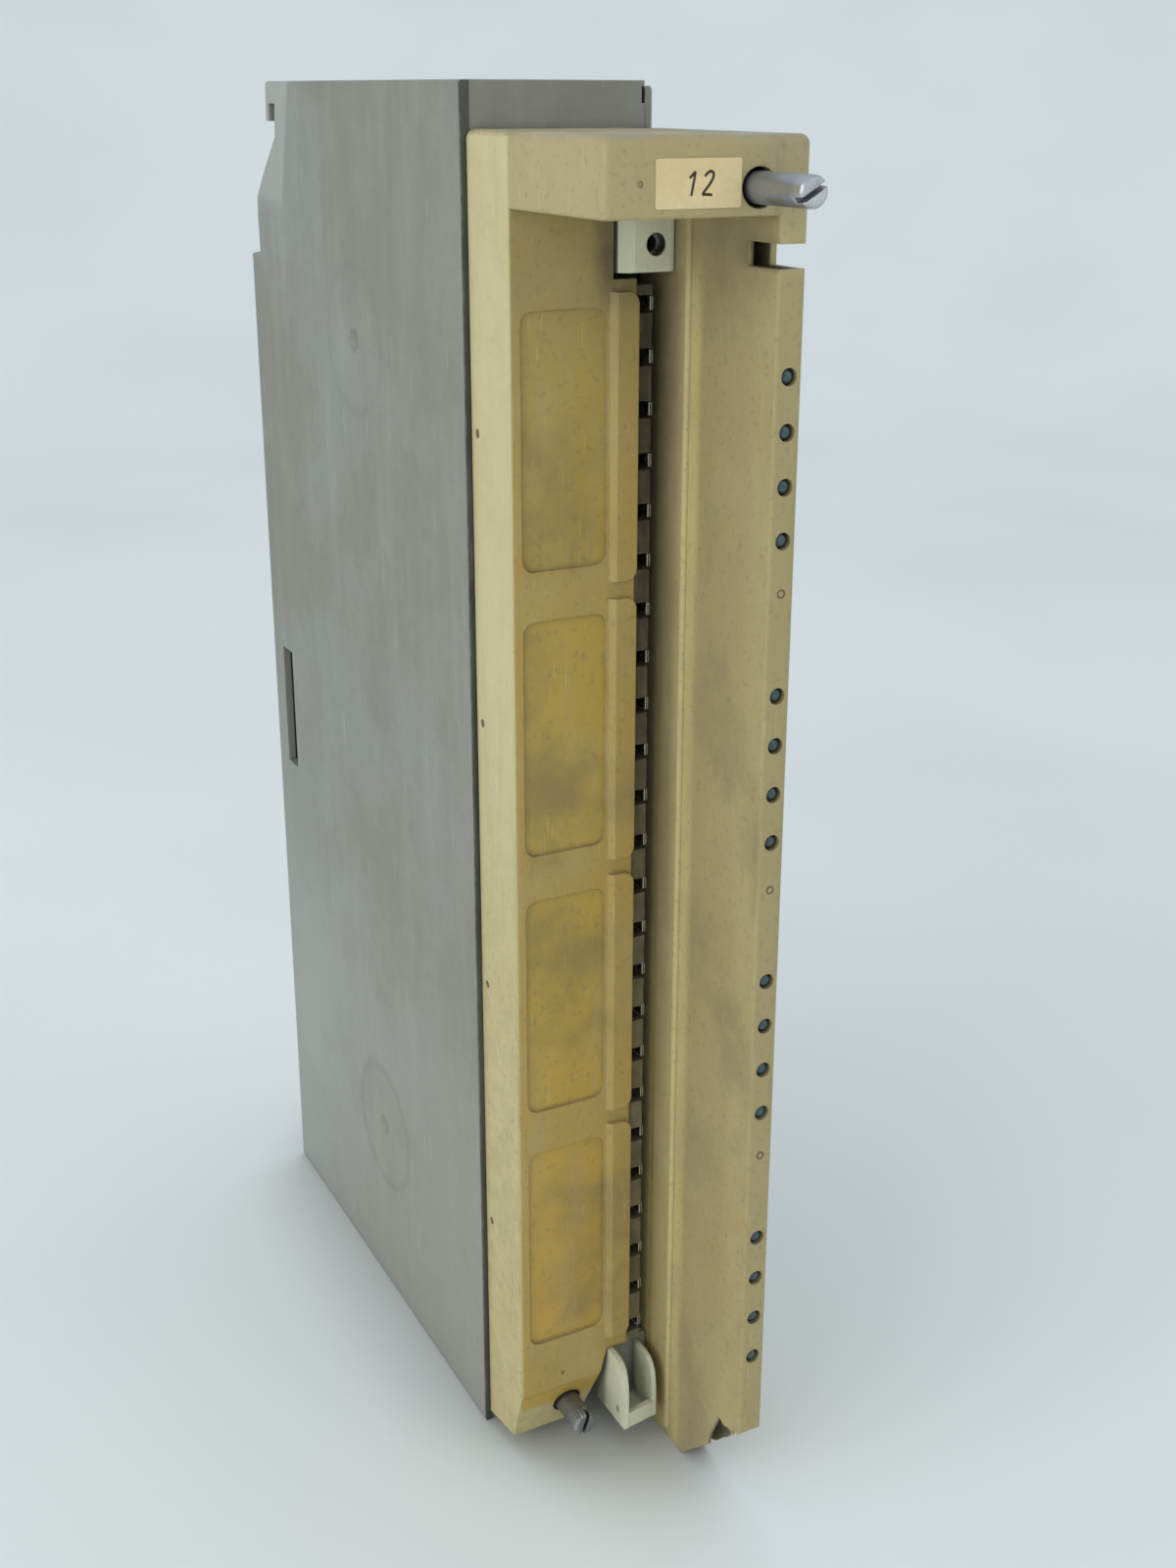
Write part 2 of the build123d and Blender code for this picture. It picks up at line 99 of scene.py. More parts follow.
def newGroup(name, inputs, outputs, kindOfTree="ShaderNodeTree"):
    tree = bpy.data.node_groups.new(name, kindOfTree)
    for label, kind, value in inputs:
        socket = tree.interface.new_socket(label, in_out="INPUT", socket_type="NodeSocket" + kind)
        if value is not None:
            socket.default_value = value
    for label, kind in outputs:
        tree.interface.new_socket(label, in_out="OUTPUT", socket_type="NodeSocket" + kind)
    return tree, tree.nodes.new("NodeGroupInput").outputs, tree.nodes.new("NodeGroupOutput").inputs


# shader groups that several finishes share
def buildGrainGroup():
    tree, given, result = newGroup(
        "mouldedGrain",
        [("Coordinates", "Vector", None), ("Size", "Float", 1400.0)],
        [("Height", "Float"), ("Tone", "Float")])
    fine = noise(tree, given["Coordinates"], given["Size"], 2.0)
    coarse = noise(tree, given["Coordinates"], calc(tree, "MULTIPLY", given["Size"], 0.13), 4.0, 0.65)
    height = calc(tree, "ADD", calc(tree, "MULTIPLY", fine, 0.75), calc(tree, "MULTIPLY", coarse, 0.25))
    tree.links.new(height, result["Height"])
    tree.links.new(between(tree, coarse, 0.3, 0.7), result["Tone"])
    return tree


def buildWearGroup():
    tree, given, result = newGroup(
        "edgeWear",
        [("Coordinates", "Vector", None), ("Radius", "Float", 0.0005), ("Breakup", "Float", 350.0)],
        [("Worn", "Float"), ("Rounded", "Vector")])
    rounded = addNode(tree, "ShaderNodeBevel", {"Radius": given["Radius"]}, samples=4).outputs["Normal"]
    flat = tree.nodes.new("ShaderNodeNewGeometry").outputs["Normal"]
    turn = addNode(tree, "ShaderNodeVectorMath", {0: rounded, 1: flat}, operation="DOT_PRODUCT")
    edge = between(tree, turn.outputs["Value"], 0.995, 0.90)
    patchy = between(tree, noise(tree, given["Coordinates"], given["Breakup"], 4.0), 0.38, 0.62)
    tree.links.new(calc(tree, "MULTIPLY", edge, patchy), result["Worn"])
    tree.links.new(rounded, result["Rounded"])
    return tree


def buildGrimeAndShadeGroup():
    tree, given, result = newGroup(
        "grimeAndCreviceShade",
        [("Coordinates", "Vector", None), ("Reach", "Float", 0.004), ("Patches", "Float", 120.0)],
        [("CreviceGrimeAndShade", "Float"), ("Dust", "Float")])
    # the crevice mask darkens where ambient occlusion finds hollows, gaps and corners: painted shade there,
    # broken into patches and mixed with grime
    shade = addNode(tree, "ShaderNodeAmbientOcclusion", {"Distance": given["Reach"]}, samples=4).outputs["AO"]
    patches = noise(tree, given["Coordinates"], given["Patches"], 4.0, 0.65)
    broken = between(tree, patches, 0.25, 0.65, 0.45, 1.0)
    tree.links.new(calc(tree, "MULTIPLY", between(tree, shade, 0.80, 0.25), broken), result["CreviceGrimeAndShade"])
    normal = tree.nodes.new("ShaderNodeNewGeometry").outputs["Normal"]
    upward = addNode(tree, "ShaderNodeSeparateXYZ", {0: normal}).outputs["Z"]
    layerShare = calc(tree, "MULTIPLY", between(tree, upward, 0.2, 0.9), between(tree, patches, 0.35, 0.6))
    tree.links.new(layerShare, result["Dust"])
    return tree


def buildStainGroup():
    tree, given, result = newGroup(
        "handlingStains",
        [("Coordinates", "Vector", None), ("Scale", "Float", 28.0)],
        [("Blotch", "Float"), ("Streak", "Float"), ("Scratch", "Float")])
    blotch = noise(tree, given["Coordinates"], given["Scale"], 5.0, 0.6)
    tall = stretched(tree, given["Coordinates"], (1.0, 1.0, 0.12))
    streak = noise(tree, tall, calc(tree, "MULTIPLY", given["Scale"], 7.0), 3.0)
    thin = stretched(tree, given["Coordinates"], (1.0, 0.7, 0.05))
    lines = noise(tree, thin, calc(tree, "MULTIPLY", given["Scale"], 85.0), 1.0, 0.3)
    tree.links.new(between(tree, blotch, 0.38, 0.66), result["Blotch"])
    tree.links.new(between(tree, streak, 0.45, 0.75), result["Streak"])
    tree.links.new(between(tree, lines, 0.735, 0.77), result["Scratch"])
    return tree


def buildSinkShadeGroup():
    # painted shading of a shallow sink mark: the ring is a darker band at its edge, the disc a lighter patch
    # inside
    tree, given, result = newGroup(
        "paintedSinkShade",
        [("Coordinates", "Vector", None), ("Centre", "Vector", (0.0, 0.0, 0.0)),
         ("Radius", "Float", 0.016)],
        [("Ring", "Float"), ("Disc", "Float")])
    flatten = (0.0, 1.0, 1.0)
    flat = stretched(tree, given["Coordinates"], flatten)
    apart = addNode(tree, "ShaderNodeVectorMath", {0: flat, 1: given["Centre"]}, operation="DISTANCE")
    share = calc(tree, "DIVIDE", apart.outputs["Value"], given["Radius"])
    ring = calc(tree, "MULTIPLY", between(tree, share, 0.86, 0.99), between(tree, share, 1.10, 1.0))
    tree.links.new(ring, result["Ring"])
    tree.links.new(between(tree, share, 1.05, 0.0), result["Disc"])
    return tree


grainGroup = buildGrainGroup()
wearGroup = buildWearGroup()
grimeGroup = buildGrimeAndShadeGroup()
stainGroup = buildStainGroup()
sinkShadeGroup = buildSinkShadeGroup()
print("shader groups built")


def placeGroup(tree, group, inputs):
    made = addNode(tree, "ShaderNodeGroup", None, node_tree=group)
    for name, value in inputs.items():
        if isinstance(value, bpy.types.NodeSocket):
            tree.links.new(value, made.inputs[name])
        else:
            made.inputs[name].default_value = value
    return made.outputs


def startMaterial(name):
    material = bpy.data.materials.new(name)
    material.use_nodes = True
    tree = material.node_tree
    tree.nodes.clear()
    shader = tree.nodes.new("ShaderNodeBsdfPrincipled")
    output = tree.nodes.new("ShaderNodeOutputMaterial")
    tree.links.new(shader.outputs["BSDF"], output.inputs["Surface"])
    return material, tree, shader, tree.nodes.new("ShaderNodeTexCoord").outputs["Object"]


# how a tint's noise becomes its mask: from, to, least and most
evenSpread = (0.2, 0.62, 0.55, 1.0)
brokenSpread = (0.46, 0.68, 0.0, 1.0)
speckSpread = (0.54, 0.72, 0.0, 1.0)

# what every aged finish starts from; each material names only what differs
agedLook = {
    "base": (0.5, 0.5, 0.5), "stain": (0.4, 0.38, 0.3), "stainAmount": 0.3, "stainScale": 28.0,
    "streak": (0.3, 0.28, 0.22), "streakAmount": 0.2, "scratchAmount": 0.0,
    "grime": (0.10, 0.09, 0.06), "grimeAmount": 0.6, "reach": 0.004,
    "dust": (0.55, 0.53, 0.48), "dustAmount": 0.3,
    "worn": (0.7, 0.68, 0.6), "wornAmount": 0.3, "edgeRadius": 0.0004,
    "roughness": 0.55, "roughnessSpread": 0.12, "grain": 1400.0, "bump": 0.12, "bumpDepth": 0.0002,
    "metallic": 0.0, "coat": 0.0, "specular": 0.45, "toneAmount": 0.08, "tints": (), "rings": (),
}


def agedMaterial(name, **changes):
    look = {**agedLook, **changes}
    material, tree, shader, coordinates = startMaterial(name)
    axes = addNode(tree, "ShaderNodeSeparateXYZ", {0: coordinates}).outputs
    grain = placeGroup(tree, grainGroup, {"Coordinates": coordinates, "Size": look["grain"]})
    wear = placeGroup(tree, wearGroup, {"Coordinates": coordinates, "Radius": look["edgeRadius"]})
    grime = placeGroup(tree, grimeGroup, {"Coordinates": coordinates, "Reach": look["reach"]})
    stains = placeGroup(tree, stainGroup, {"Coordinates": coordinates, "Scale": look["stainScale"]})

    def layer(colour, mask, amount, over):
        return mixColour(tree, calc(tree, "MULTIPLY", mask, amount), over, rgba(colour))

    darker = tuple(channel * (1 - look["toneAmount"]) for channel in look["base"])
    colour = mixColour(tree, grain["Tone"], rgba(look["base"]), rgba(darker))
    colour = layer(look["stain"], stains["Blotch"], look["stainAmount"], colour)
    for tint in look["tints"]:
        cloud = noise(tree, coordinates, tint.get("patches", 60.0), 4.0, 0.6)
        mask = between(tree, cloud, *tint.get("spread", evenSpread))
        for axis, start, end in tint["ranges"]:
            mask = calc(tree, "MULTIPLY", mask, between(tree, axes[axis], start, end))
        colour = layer(tint["colour"], mask, tint["amount"], colour)
    # painted shading of sink marks: a lighter disc inside a darker ring
    for ring in look["rings"]:
        marks = placeGroup(tree, sinkShadeGroup, {
            "Coordinates": coordinates, "Centre": ring["centre"], "Radius": ring["radius"]})
        colour = layer(ring["discShadingColour"], marks["Disc"], ring["discShadingAmount"], colour)
        colour = layer(ring["colour"], marks["Ring"], ring["amount"], colour)
    colour = layer(look["streak"], stains["Streak"], look["streakAmount"], colour)
    colour = layer(look["dust"], grime["Dust"], look["dustAmount"], colour)
    # painted shade with grime in hollows and gaps, from the ambient occlusion mask
    colour = layer(look["grime"], grime["CreviceGrimeAndShade"], look["grimeAmount"], colour)
    colour = layer(look["worn"], wear["Worn"], look["wornAmount"], colour)
    if look["scratchAmount"]:
        colour = layer(look["worn"], stains["Scratch"], look["scratchAmount"], colour)
    tree.links.new(colour, shader.inputs["Base Color"])

    low, high = look["roughness"] - look["roughnessSpread"], look["roughness"] + look["roughnessSpread"]
    tree.links.new(between(tree, stains["Blotch"], 0.0, 1.0, low, high), shader.inputs["Roughness"])
    bump = addNode(tree, "ShaderNodeBump", {
        "Strength": look["bump"], "Distance": look["bumpDepth"],
        "Height": grain["Height"], "Normal": wear["Rounded"]})
    tree.links.new(bump.outputs["Normal"], shader.inputs["Normal"])
    shader.inputs["Metallic"].default_value = look["metallic"]
    shader.inputs["Coat Weight"].default_value = look["coat"]
    shader.inputs["Specular IOR Level"].default_value = look["specular"]
    return material


def alongX(a, b):
    return ("X", at(a, 0, 0).x, at(b, 0, 0).x)


def alongY(a, b):
    return ("Y", at(0, a, 0).y, at(0, b, 0).y)


def alongZ(a, b):
    return ("Z", at(0, 0, a).z, at(0, 0, b).z)


# the yellowed front frame: most tints are places where dirt or light has changed the plastic; those marked
# below are painted shade, and one a painted highlight
ahead = alongY(38.6, 38.1)
pocketFloor = (alongY(37.2, 37.5), alongY(39.0, 38.5), alongX(0.6, 1.2))
recessFace = (alongY(33.0, 36.3), ahead, alongX(34.0, 33.6), alongX(0.1, 0.6))
innerWall = (alongX(33.0, 33.8), alongX(35.2, 35.0))
frameTints = (
    {"colour": (0.42, 0.335, 0.155), "amount": 0.95, "ranges": (alongY(38.0, 36.0),)},
    {"colour": (0.365, 0.29, 0.125), "amount": 0.80, "patches": 50.0,
     "ranges": (alongX(34.8, 35.3), alongY(1.0, 0.3), alongZ(276.0, 268.0))},
    {"colour": (0.45, 0.30, 0.072), "amount": 0.95, "ranges": recessFace},
    {"colour": (0.49, 0.335, 0.062), "amount": 0.90, "ranges": pocketFloor},
    {"colour": (0.56, 0.34, 0.05), "amount": 0.60, "patches": 40.0,
     "ranges": pocketFloor + (alongZ(150.0, 30.0),)},
    # painted shade under the top bar: the recess face darker towards the top
    {"colour": (0.33, 0.27, 0.12), "amount": 0.60, "patches": 110.0,
     "ranges": recessFace + (alongZ(225.0, 276.0),)},
    # painted shade: near black in the gap around the lock block
    {"colour": (0.10, 0.085, 0.05), "amount": 0.85, "patches": 190.0,
     "ranges": recessFace + (alongX(16.0, 21.0), alongZ(258.0, 270.0))},
    {"colour": (0.25, 0.18, 0.07), "amount": 0.75, "patches": 26.0, "spread": brokenSpread,
     "ranges": recessFace + (alongX(0.8, 4.0),)},
    {"colour": (0.30, 0.21, 0.065), "amount": 0.45, "patches": 37.0, "spread": brokenSpread,
     "ranges": pocketFloor},
    {"colour": (0.38, 0.30, 0.15), "amount": 0.80, "patches": 45.0,
     "ranges": (alongX(34.2, 34.8), alongX(35.2, 35.0), alongY(4.0, 12.0), alongZ(0.0, 40.0))},
    {"colour": (0.34, 0.27, 0.14), "amount": 0.35, "patches": 60.0,
     "ranges": innerWall + (alongZ(150.0, 262.0),)},
    # painted highlight: a lighter band along the ridge of the inner wall
    {"colour": (0.62, 0.51, 0.23), "amount": 0.70, "patches": 90.0,
     "ranges": innerWall + (alongY(24.5, 27.5), alongY(31.0, 29.8), alongZ(276.0, 262.0))},
    # painted shade with dirt in the corner beside the contacts: darker towards the corner and the top, paler
    # lower down
    {"colour": (0.10, 0.082, 0.05), "amount": 0.80, "patches": 210.0,
     "ranges": innerWall + (alongY(31.0, 36.5), alongZ(120.0, 262.0))},
    {"colour": (0.24, 0.19, 0.10), "amount": 0.70, "patches": 160.0,
     "ranges": innerWall + (alongY(30.0, 35.0), alongZ(40.0, 150.0))},
    # painted shade of the latch notch, with dirt above it
    {"colour": (0.13, 0.115, 0.075), "amount": 0.85, "patches": 150.0,
     "ranges": innerWall + (alongY(17.0, 7.0), alongZ(279.0, 274.0), alongZ(270.5, 272.0))},
    {"colour": (0.25, 0.21, 0.12), "amount": 0.60, "patches": 38.0, "spread": brokenSpread,
     "ranges": innerWall + (alongY(30.0, 20.0),)},
    # painted shade inside the lamp column's cavity
    {"colour": (0.12, 0.10, 0.06), "amount": 0.90, "patches": 90.0,
     "ranges": (alongX(35.3, 35.6), alongX(39.9, 39.7), alongY(1.0, 1.6))},
    {"colour": (0.36, 0.30, 0.16), "amount": 0.75, "patches": 80.0,
     "ranges": (alongX(24.0, 36.0), alongY(4.0, 0.5), alongZ(276.0, 284.0))},
    {"colour": (0.22, 0.17, 0.085), "amount": 0.40, "patches": 700.0, "spread": speckSpread, "ranges": ()},
    {"colour": (0.60, 0.53, 0.285), "amount": 0.80, "patches": 30.0,
     "ranges": (alongX(0.5, 0.1), alongY(36.0, 37.0), alongZ(90.0, 200.0))},
)
frameBeige = agedMaterial(
    "frameBeige", base=(0.57, 0.475, 0.225), stain=(0.50, 0.42, 0.21), stainAmount=0.35, stainScale=32.0,
    streak=(0.40, 0.33, 0.18), streakAmount=0.25, scratchAmount=0.25, grime=(0.10, 0.08, 0.04),
    grimeAmount=0.6, reach=0.0032, dust=(0.34, 0.31, 0.22), dustAmount=0.55, worn=(0.66, 0.58, 0.36),
    wornAmount=0.4, toneAmount=0.16, roughness=0.52, grain=1700.0, tints=frameTints)

postPlaces = ((116.2, 248.3), (116.2, 47.7))
# painted shading of the shallow sink marks around the two posts
dimpleSinkShades = []
for postY, postZ in postPlaces:
    centre = at(0, postY, postZ)
    dimpleSinkShades.append({
        "centre": (0.0, centre.y, centre.z), "radius": 16.5 * mm, "colour": (0.20, 0.20, 0.175),
        "amount": 0.4, "discShadingColour": (0.31, 0.31, 0.275), "discShadingAmount": 0.3})
housingTints = (
    {"colour": (0.325, 0.315, 0.272), "amount": 0.7, "patches": 12.0, "ranges": (alongZ(170.0, 20.0),)},
    {"colour": (0.36, 0.375, 0.345), "amount": 0.5, "patches": 14.0,
     "ranges": (alongY(120.0, 187.0), alongZ(200.0, 60.0))},
    # painted shade: the top of the housing darker
    {"colour": (0.23, 0.225, 0.185), "amount": 0.7, "patches": 30.0, "ranges": (alongZ(299.0, 302.9),)},
    {"colour": (0.42, 0.42, 0.38), "amount": 0.7,
     "ranges": (alongX(-1.07, -0.9), alongX(0.4, 0.0), alongY(148.0, 156.0), alongZ(268.0, 280.0))},
    # painted shade with dirt: the housing's front edge strip in the gap behind the frame, near black
    {"colour": (0.025, 0.025, 0.022), "amount": 0.95, "patches": 12.0,
     "ranges": (alongY(55.7, 55.25), alongX(1.2, 0.6))},
)
housingGrey = agedMaterial(
    "housingGrey", base=(0.252, 0.250, 0.212), stain=(0.215, 0.21, 0.175), stainAmount=0.45, stainScale=18.0,
    streak=(0.33, 0.33, 0.295), streakAmount=0.3, scratchAmount=0.30, grime=(0.06, 0.055, 0.042),
    grimeAmount=0.6, dust=(0.25, 0.235, 0.19), dustAmount=0.45, worn=(0.44, 0.44, 0.40), wornAmount=0.5,
    roughness=0.58, grain=1900.0, bump=0.18, tints=housingTints, rings=dimpleSinkShades)

stripTints = (
    {"colour": (0.042, 0.034, 0.016), "amount": 0.9, "patches": 120.0, "ranges": (alongZ(70.0, 240.0),)},
    # painted shade: near black deep in the chambers behind the contacts
    {"colour": (0.02, 0.016, 0.009), "amount": 0.9, "ranges": (alongY(38.2, 40.5),)},
)
stripTan = agedMaterial(
    "stripTan", base=(0.20, 0.165, 0.085), stain=(0.10, 0.082, 0.045), stainAmount=0.6, stainScale=160.0,
    grime=(0.02, 0.017, 0.01), grimeAmount=0.9, reach=0.006, roughness=0.7, grain=1500.0, tints=stripTints)
boreShade = (
    alongY(34.9, 35.2), alongX(27.2, 27.6), alongX(32.6, 32.2), alongZ(271.2, 271.6), alongZ(276.2, 275.8))
fittingTints = (
    {"colour": (0.02, 0.02, 0.017), "amount": 1.0, "patches": 12.0, "ranges": boreShade},
    # painted shade on the lock block's chamfer facet
    {"colour": (0.50, 0.53, 0.36), "amount": 0.7, "ranges": (alongX(25.6, 25.0), alongZ(200.0, 260.0))},
    # painted shade low at the back of the bracket
    {"colour": (0.16, 0.16, 0.12), "amount": 0.8, "patches": 120.0,
     "ranges": (alongY(36.5, 39.5), alongZ(30.0, 22.0))},
)
fittingGrey = agedMaterial(
    "fittingGrey", base=(0.74, 0.75, 0.55), stain=(0.58, 0.57, 0.40), stainAmount=0.5, stainScale=90.0,
    grime=(0.12, 0.11, 0.08), grimeAmount=0.7, reach=0.003, worn=(0.72, 0.72, 0.60), roughness=0.5,
    tints=fittingTints)
labelPaper = agedMaterial(
    "labelPaper", base=(0.81, 0.64, 0.335), stain=(0.70, 0.52, 0.25), stainAmount=0.5, stainScale=110.0,
    streak=(0.68, 0.56, 0.34), grime=(0.35, 0.28, 0.15), grimeAmount=0.4, reach=0.001,
    worn=(0.88, 0.80, 0.55), wornAmount=0.8, edgeRadius=0.00025, roughness=0.62, grain=5000.0, bump=0.25)
screwTints = (
    {"colour": (0.17, 0.17, 0.15), "amount": 0.85, "patches": 260.0, "ranges": (alongZ(60.0, 20.0),)},
    {"colour": (0.56, 0.57, 0.58), "amount": 0.70, "patches": 420.0,
     "ranges": (alongY(-13.0, -16.0), alongZ(200.0, 260.0))},
)
screwZinc = agedMaterial(
    "screwZinc", base=(0.36, 0.385, 0.43), stain=(0.25, 0.265, 0.30), stainAmount=0.6, stainScale=160.0,
    streak=(0.36, 0.36, 0.37), streakAmount=0.5, scratchAmount=0.5, grime=(0.06, 0.055, 0.05),
    grimeAmount=0.8, reach=0.0015, worn=(0.72, 0.73, 0.74), wornAmount=0.9, edgeRadius=0.0002,
    roughness=0.42, grain=2600.0, bump=0.25, metallic=0.85, dustAmount=0.1, tints=screwTints)
zincSteel = agedMaterial(
    "zincSteel", base=(0.52, 0.52, 0.52), stain=(0.34, 0.32, 0.28), stainAmount=0.5, stainScale=200.0,
    grime=(0.05, 0.045, 0.035), reach=0.001, worn=(0.75, 0.75, 0.75), wornAmount=0.7, edgeRadius=0.00015,
    roughness=0.36, grain=3000.0, metallic=0.9, dustAmount=0.1)
contactMetal = agedMaterial(
    "contactMetal", base=(0.80, 0.78, 0.70), stain=(0.50, 0.46, 0.36), stainAmount=0.45, stainScale=260.0,
    grime=(0.05, 0.045, 0.03), grimeAmount=0.5, reach=0.0008, worn=(0.9, 0.88, 0.8), edgeRadius=0.0001,
    roughness=0.28, grain=4000.0, metallic=0.95, dustAmount=0.1)
sinkAluminium = agedMaterial(
    "sinkAluminium", base=(0.62, 0.63, 0.64), stain=(0.48, 0.48, 0.48), streak=(0.52, 0.52, 0.53),
    streakAmount=0.5, scratchAmount=0.3, roughness=0.38, metallic=0.95, grain=2400.0, edgeRadius=0.0002,
    dustAmount=0.25)
clipBrass = agedMaterial(
    "clipBrass", base=(0.70, 0.56, 0.28), stain=(0.45, 0.33, 0.15), stainScale=220.0, roughness=0.32,
    metallic=0.95, grain=3000.0, edgeRadius=0.0001, reach=0.001, dustAmount=0.1)
connectorBlack = agedMaterial(
    "connectorBlack", base=(0.022, 0.022, 0.022), stain=(0.05, 0.048, 0.042), stainScale=90.0,
    stainAmount=0.4, streak=(0.04, 0.04, 0.038), grime=(0.01, 0.01, 0.01), dust=(0.18, 0.17, 0.15),
    worn=(0.10, 0.10, 0.10), roughness=0.48, grain=2200.0)
chipBlack = agedMaterial(
    "chipBlack", base=(0.026, 0.026, 0.028), stain=(0.045, 0.045, 0.042), stainScale=150.0,
    worn=(0.09, 0.09, 0.09), grime=(0.01, 0.01, 0.01), dust=(0.16, 0.15, 0.13), roughness=0.55,
    grain=3200.0, edgeRadius=0.0002, reach=0.001)
couplerWhite = agedMaterial(
    "couplerWhite", base=(0.66, 0.65, 0.58), stain=(0.56, 0.53, 0.42), stainScale=150.0, roughness=0.5,
    grain=3000.0, edgeRadius=0.0002, reach=0.001)
capacitorBlue = agedMaterial(
    "capacitorBlue", base=(0.03, 0.07, 0.24), stain=(0.04, 0.06, 0.16), streak=(0.05, 0.10, 0.28),
    worn=(0.12, 0.18, 0.36), grime=(0.01, 0.01, 0.02), dust=(0.22, 0.22, 0.22), roughness=0.3, coat=0.3,
    grain=2600.0, reach=0.001)
networkRed = agedMaterial(
    "networkRed", base=(0.34, 0.07, 0.04), stain=(0.24, 0.05, 0.03), streak=(0.40, 0.10, 0.06),
    worn=(0.5, 0.2, 0.14), grime=(0.05, 0.01, 0.01), dust=(0.3, 0.24, 0.2), roughness=0.28, coat=0.4,
    grain=2000.0, reach=0.001)


def boardMaterial(name, look):
    material, tree, shader, coordinates = startMaterial(name)
    grain = placeGroup(tree, grainGroup, {"Coordinates": coordinates, "Size": look["weave"]})
    wear = placeGroup(tree, wearGroup, {"Coordinates": coordinates, "Radius": look["edgeRadius"]})
    grime = placeGroup(tree, grimeGroup, {"Coordinates": coordinates, "Reach": look["reach"]})
    cells = addNode(tree, "ShaderNodeTexVoronoi", {"Vector": coordinates, "Scale": look["traceScale"]},
                    distance="MANHATTAN", feature="DISTANCE_TO_EDGE").outputs["Distance"]
    trace = between(tree, cells, 0.06, 0.10)
    colour = mixColour(tree, trace, rgba(look["trace"]), rgba(look["lacquer"]))
    shaded = calc(tree, "MULTIPLY", grain["Tone"], look["shadeAmount"])
    colour = mixColour(tree, shaded, colour, rgba(look["shade"]))
    # painted shade with grime in the board's hollows, from ambient occlusion
    layerShare = calc(tree, "MULTIPLY", grime["CreviceGrimeAndShade"], look["grimeAmount"])
    colour = mixColour(tree, layerShare, colour, rgba(look["grime"]))
    colour = mixColour(tree, wear["Worn"], colour, rgba(look["edge"]))
    tree.links.new(colour, shader.inputs["Base Color"])
    tree.links.new(between(tree, grain["Tone"], 0.0, 1.0, 0.22, 0.38), shader.inputs["Roughness"])
    bump = addNode(tree, "ShaderNodeBump", {
        "Strength": 0.3, "Distance": 0.0001, "Height": trace, "Normal": wear["Rounded"]})
    tree.links.new(bump.outputs["Normal"], shader.inputs["Normal"])
    shader.inputs["Coat Weight"].default_value = look["coat"]
    return material


boardGreen = boardMaterial("boardGreen", {
    "weave": 1200.0, "traceScale": 240.0, "trace": (0.05, 0.26, 0.14), "lacquer": (0.015, 0.11, 0.06),
    "shade": (0.01, 0.07, 0.04), "shadeAmount": 0.4, "grime": (0.02, 0.03, 0.02), "grimeAmount": 0.5,
    "edge": (0.32, 0.36, 0.20), "edgeRadius": 0.0002, "reach": 0.002, "coat": 0.4})


def lensMaterial(name, look):
    # dark tinted lens: the paler heart is where the lamp behind shows through
    material, tree, shader, coordinates = startMaterial(name)
    grain = placeGroup(tree, grainGroup, {"Coordinates": coordinates, "Size": look["mottle"]})
    grime = placeGroup(tree, grimeGroup, {"Coordinates": coordinates, "Reach": look["reach"]})
    facing = tree.nodes.new("ShaderNodeNewGeometry").outputs["Normal"]
    forward = addNode(tree, "ShaderNodeSeparateXYZ", {0: facing}).outputs["Y"]
    mottled = between(tree, grain["Tone"], 0.1, 0.7, 0.6, 1.0)
    heart = calc(tree, "MULTIPLY", between(tree, forward, -0.80, -0.99), mottled)
    colour = mixColour(tree, heart, rgba(look["rim"]), rgba(look["heart"]))
    # painted shade with grime around the lens, from ambient occlusion
    layerShare = calc(tree, "MULTIPLY", grime["CreviceGrimeAndShade"], look["grimeAmount"])
    colour = mixColour(tree, layerShare, colour, rgba(look["grime"]))
    tree.links.new(colour, shader.inputs["Base Color"])
    tree.links.new(between(tree, grain["Tone"], 0.0, 1.0, 0.14, 0.34), shader.inputs["Roughness"])
    shader.inputs["Coat Weight"].default_value = look["coat"]
    return material


lampLens = lensMaterial("lampLens", {
    "mottle": 2600.0, "rim": (0.012, 0.020, 0.020), "heart": (0.035, 0.075, 0.085),
    "grime": (0.02, 0.016, 0.01), "grimeAmount": 0.6, "reach": 0.0008, "coat": 0.3})


def glassMaterial(name, look):
    material, tree, shader, coordinates = startMaterial(name)
    grain = placeGroup(tree, grainGroup, {"Coordinates": coordinates, "Size": look["mottle"]})
    colour = mixColour(tree, grain["Tone"], rgba(look["clear"]), rgba(look["dusty"]))
    tree.links.new(colour, shader.inputs["Base Color"])
    tree.links.new(between(tree, grain["Tone"], 0.0, 1.0, 0.04, 0.22), shader.inputs["Roughness"])
    shader.inputs["Transmission Weight"].default_value = look["transmission"]
    return material


fuseGlass = glassMaterial("fuseGlass", {
    "mottle": 900.0, "clear": (0.90, 0.94, 0.93), "dusty": (0.70, 0.70, 0.64), "transmission": 0.85})
inkBlack = agedMaterial(
    "inkBlack", base=(0.035, 0.025, 0.015), stain=(0.10, 0.07, 0.04), stainAmount=0.6, stainScale=700.0,
    grimeAmount=0.0, wornAmount=0.0, dustAmount=0.0, roughness=0.5, grain=6000.0)
print("materials built")

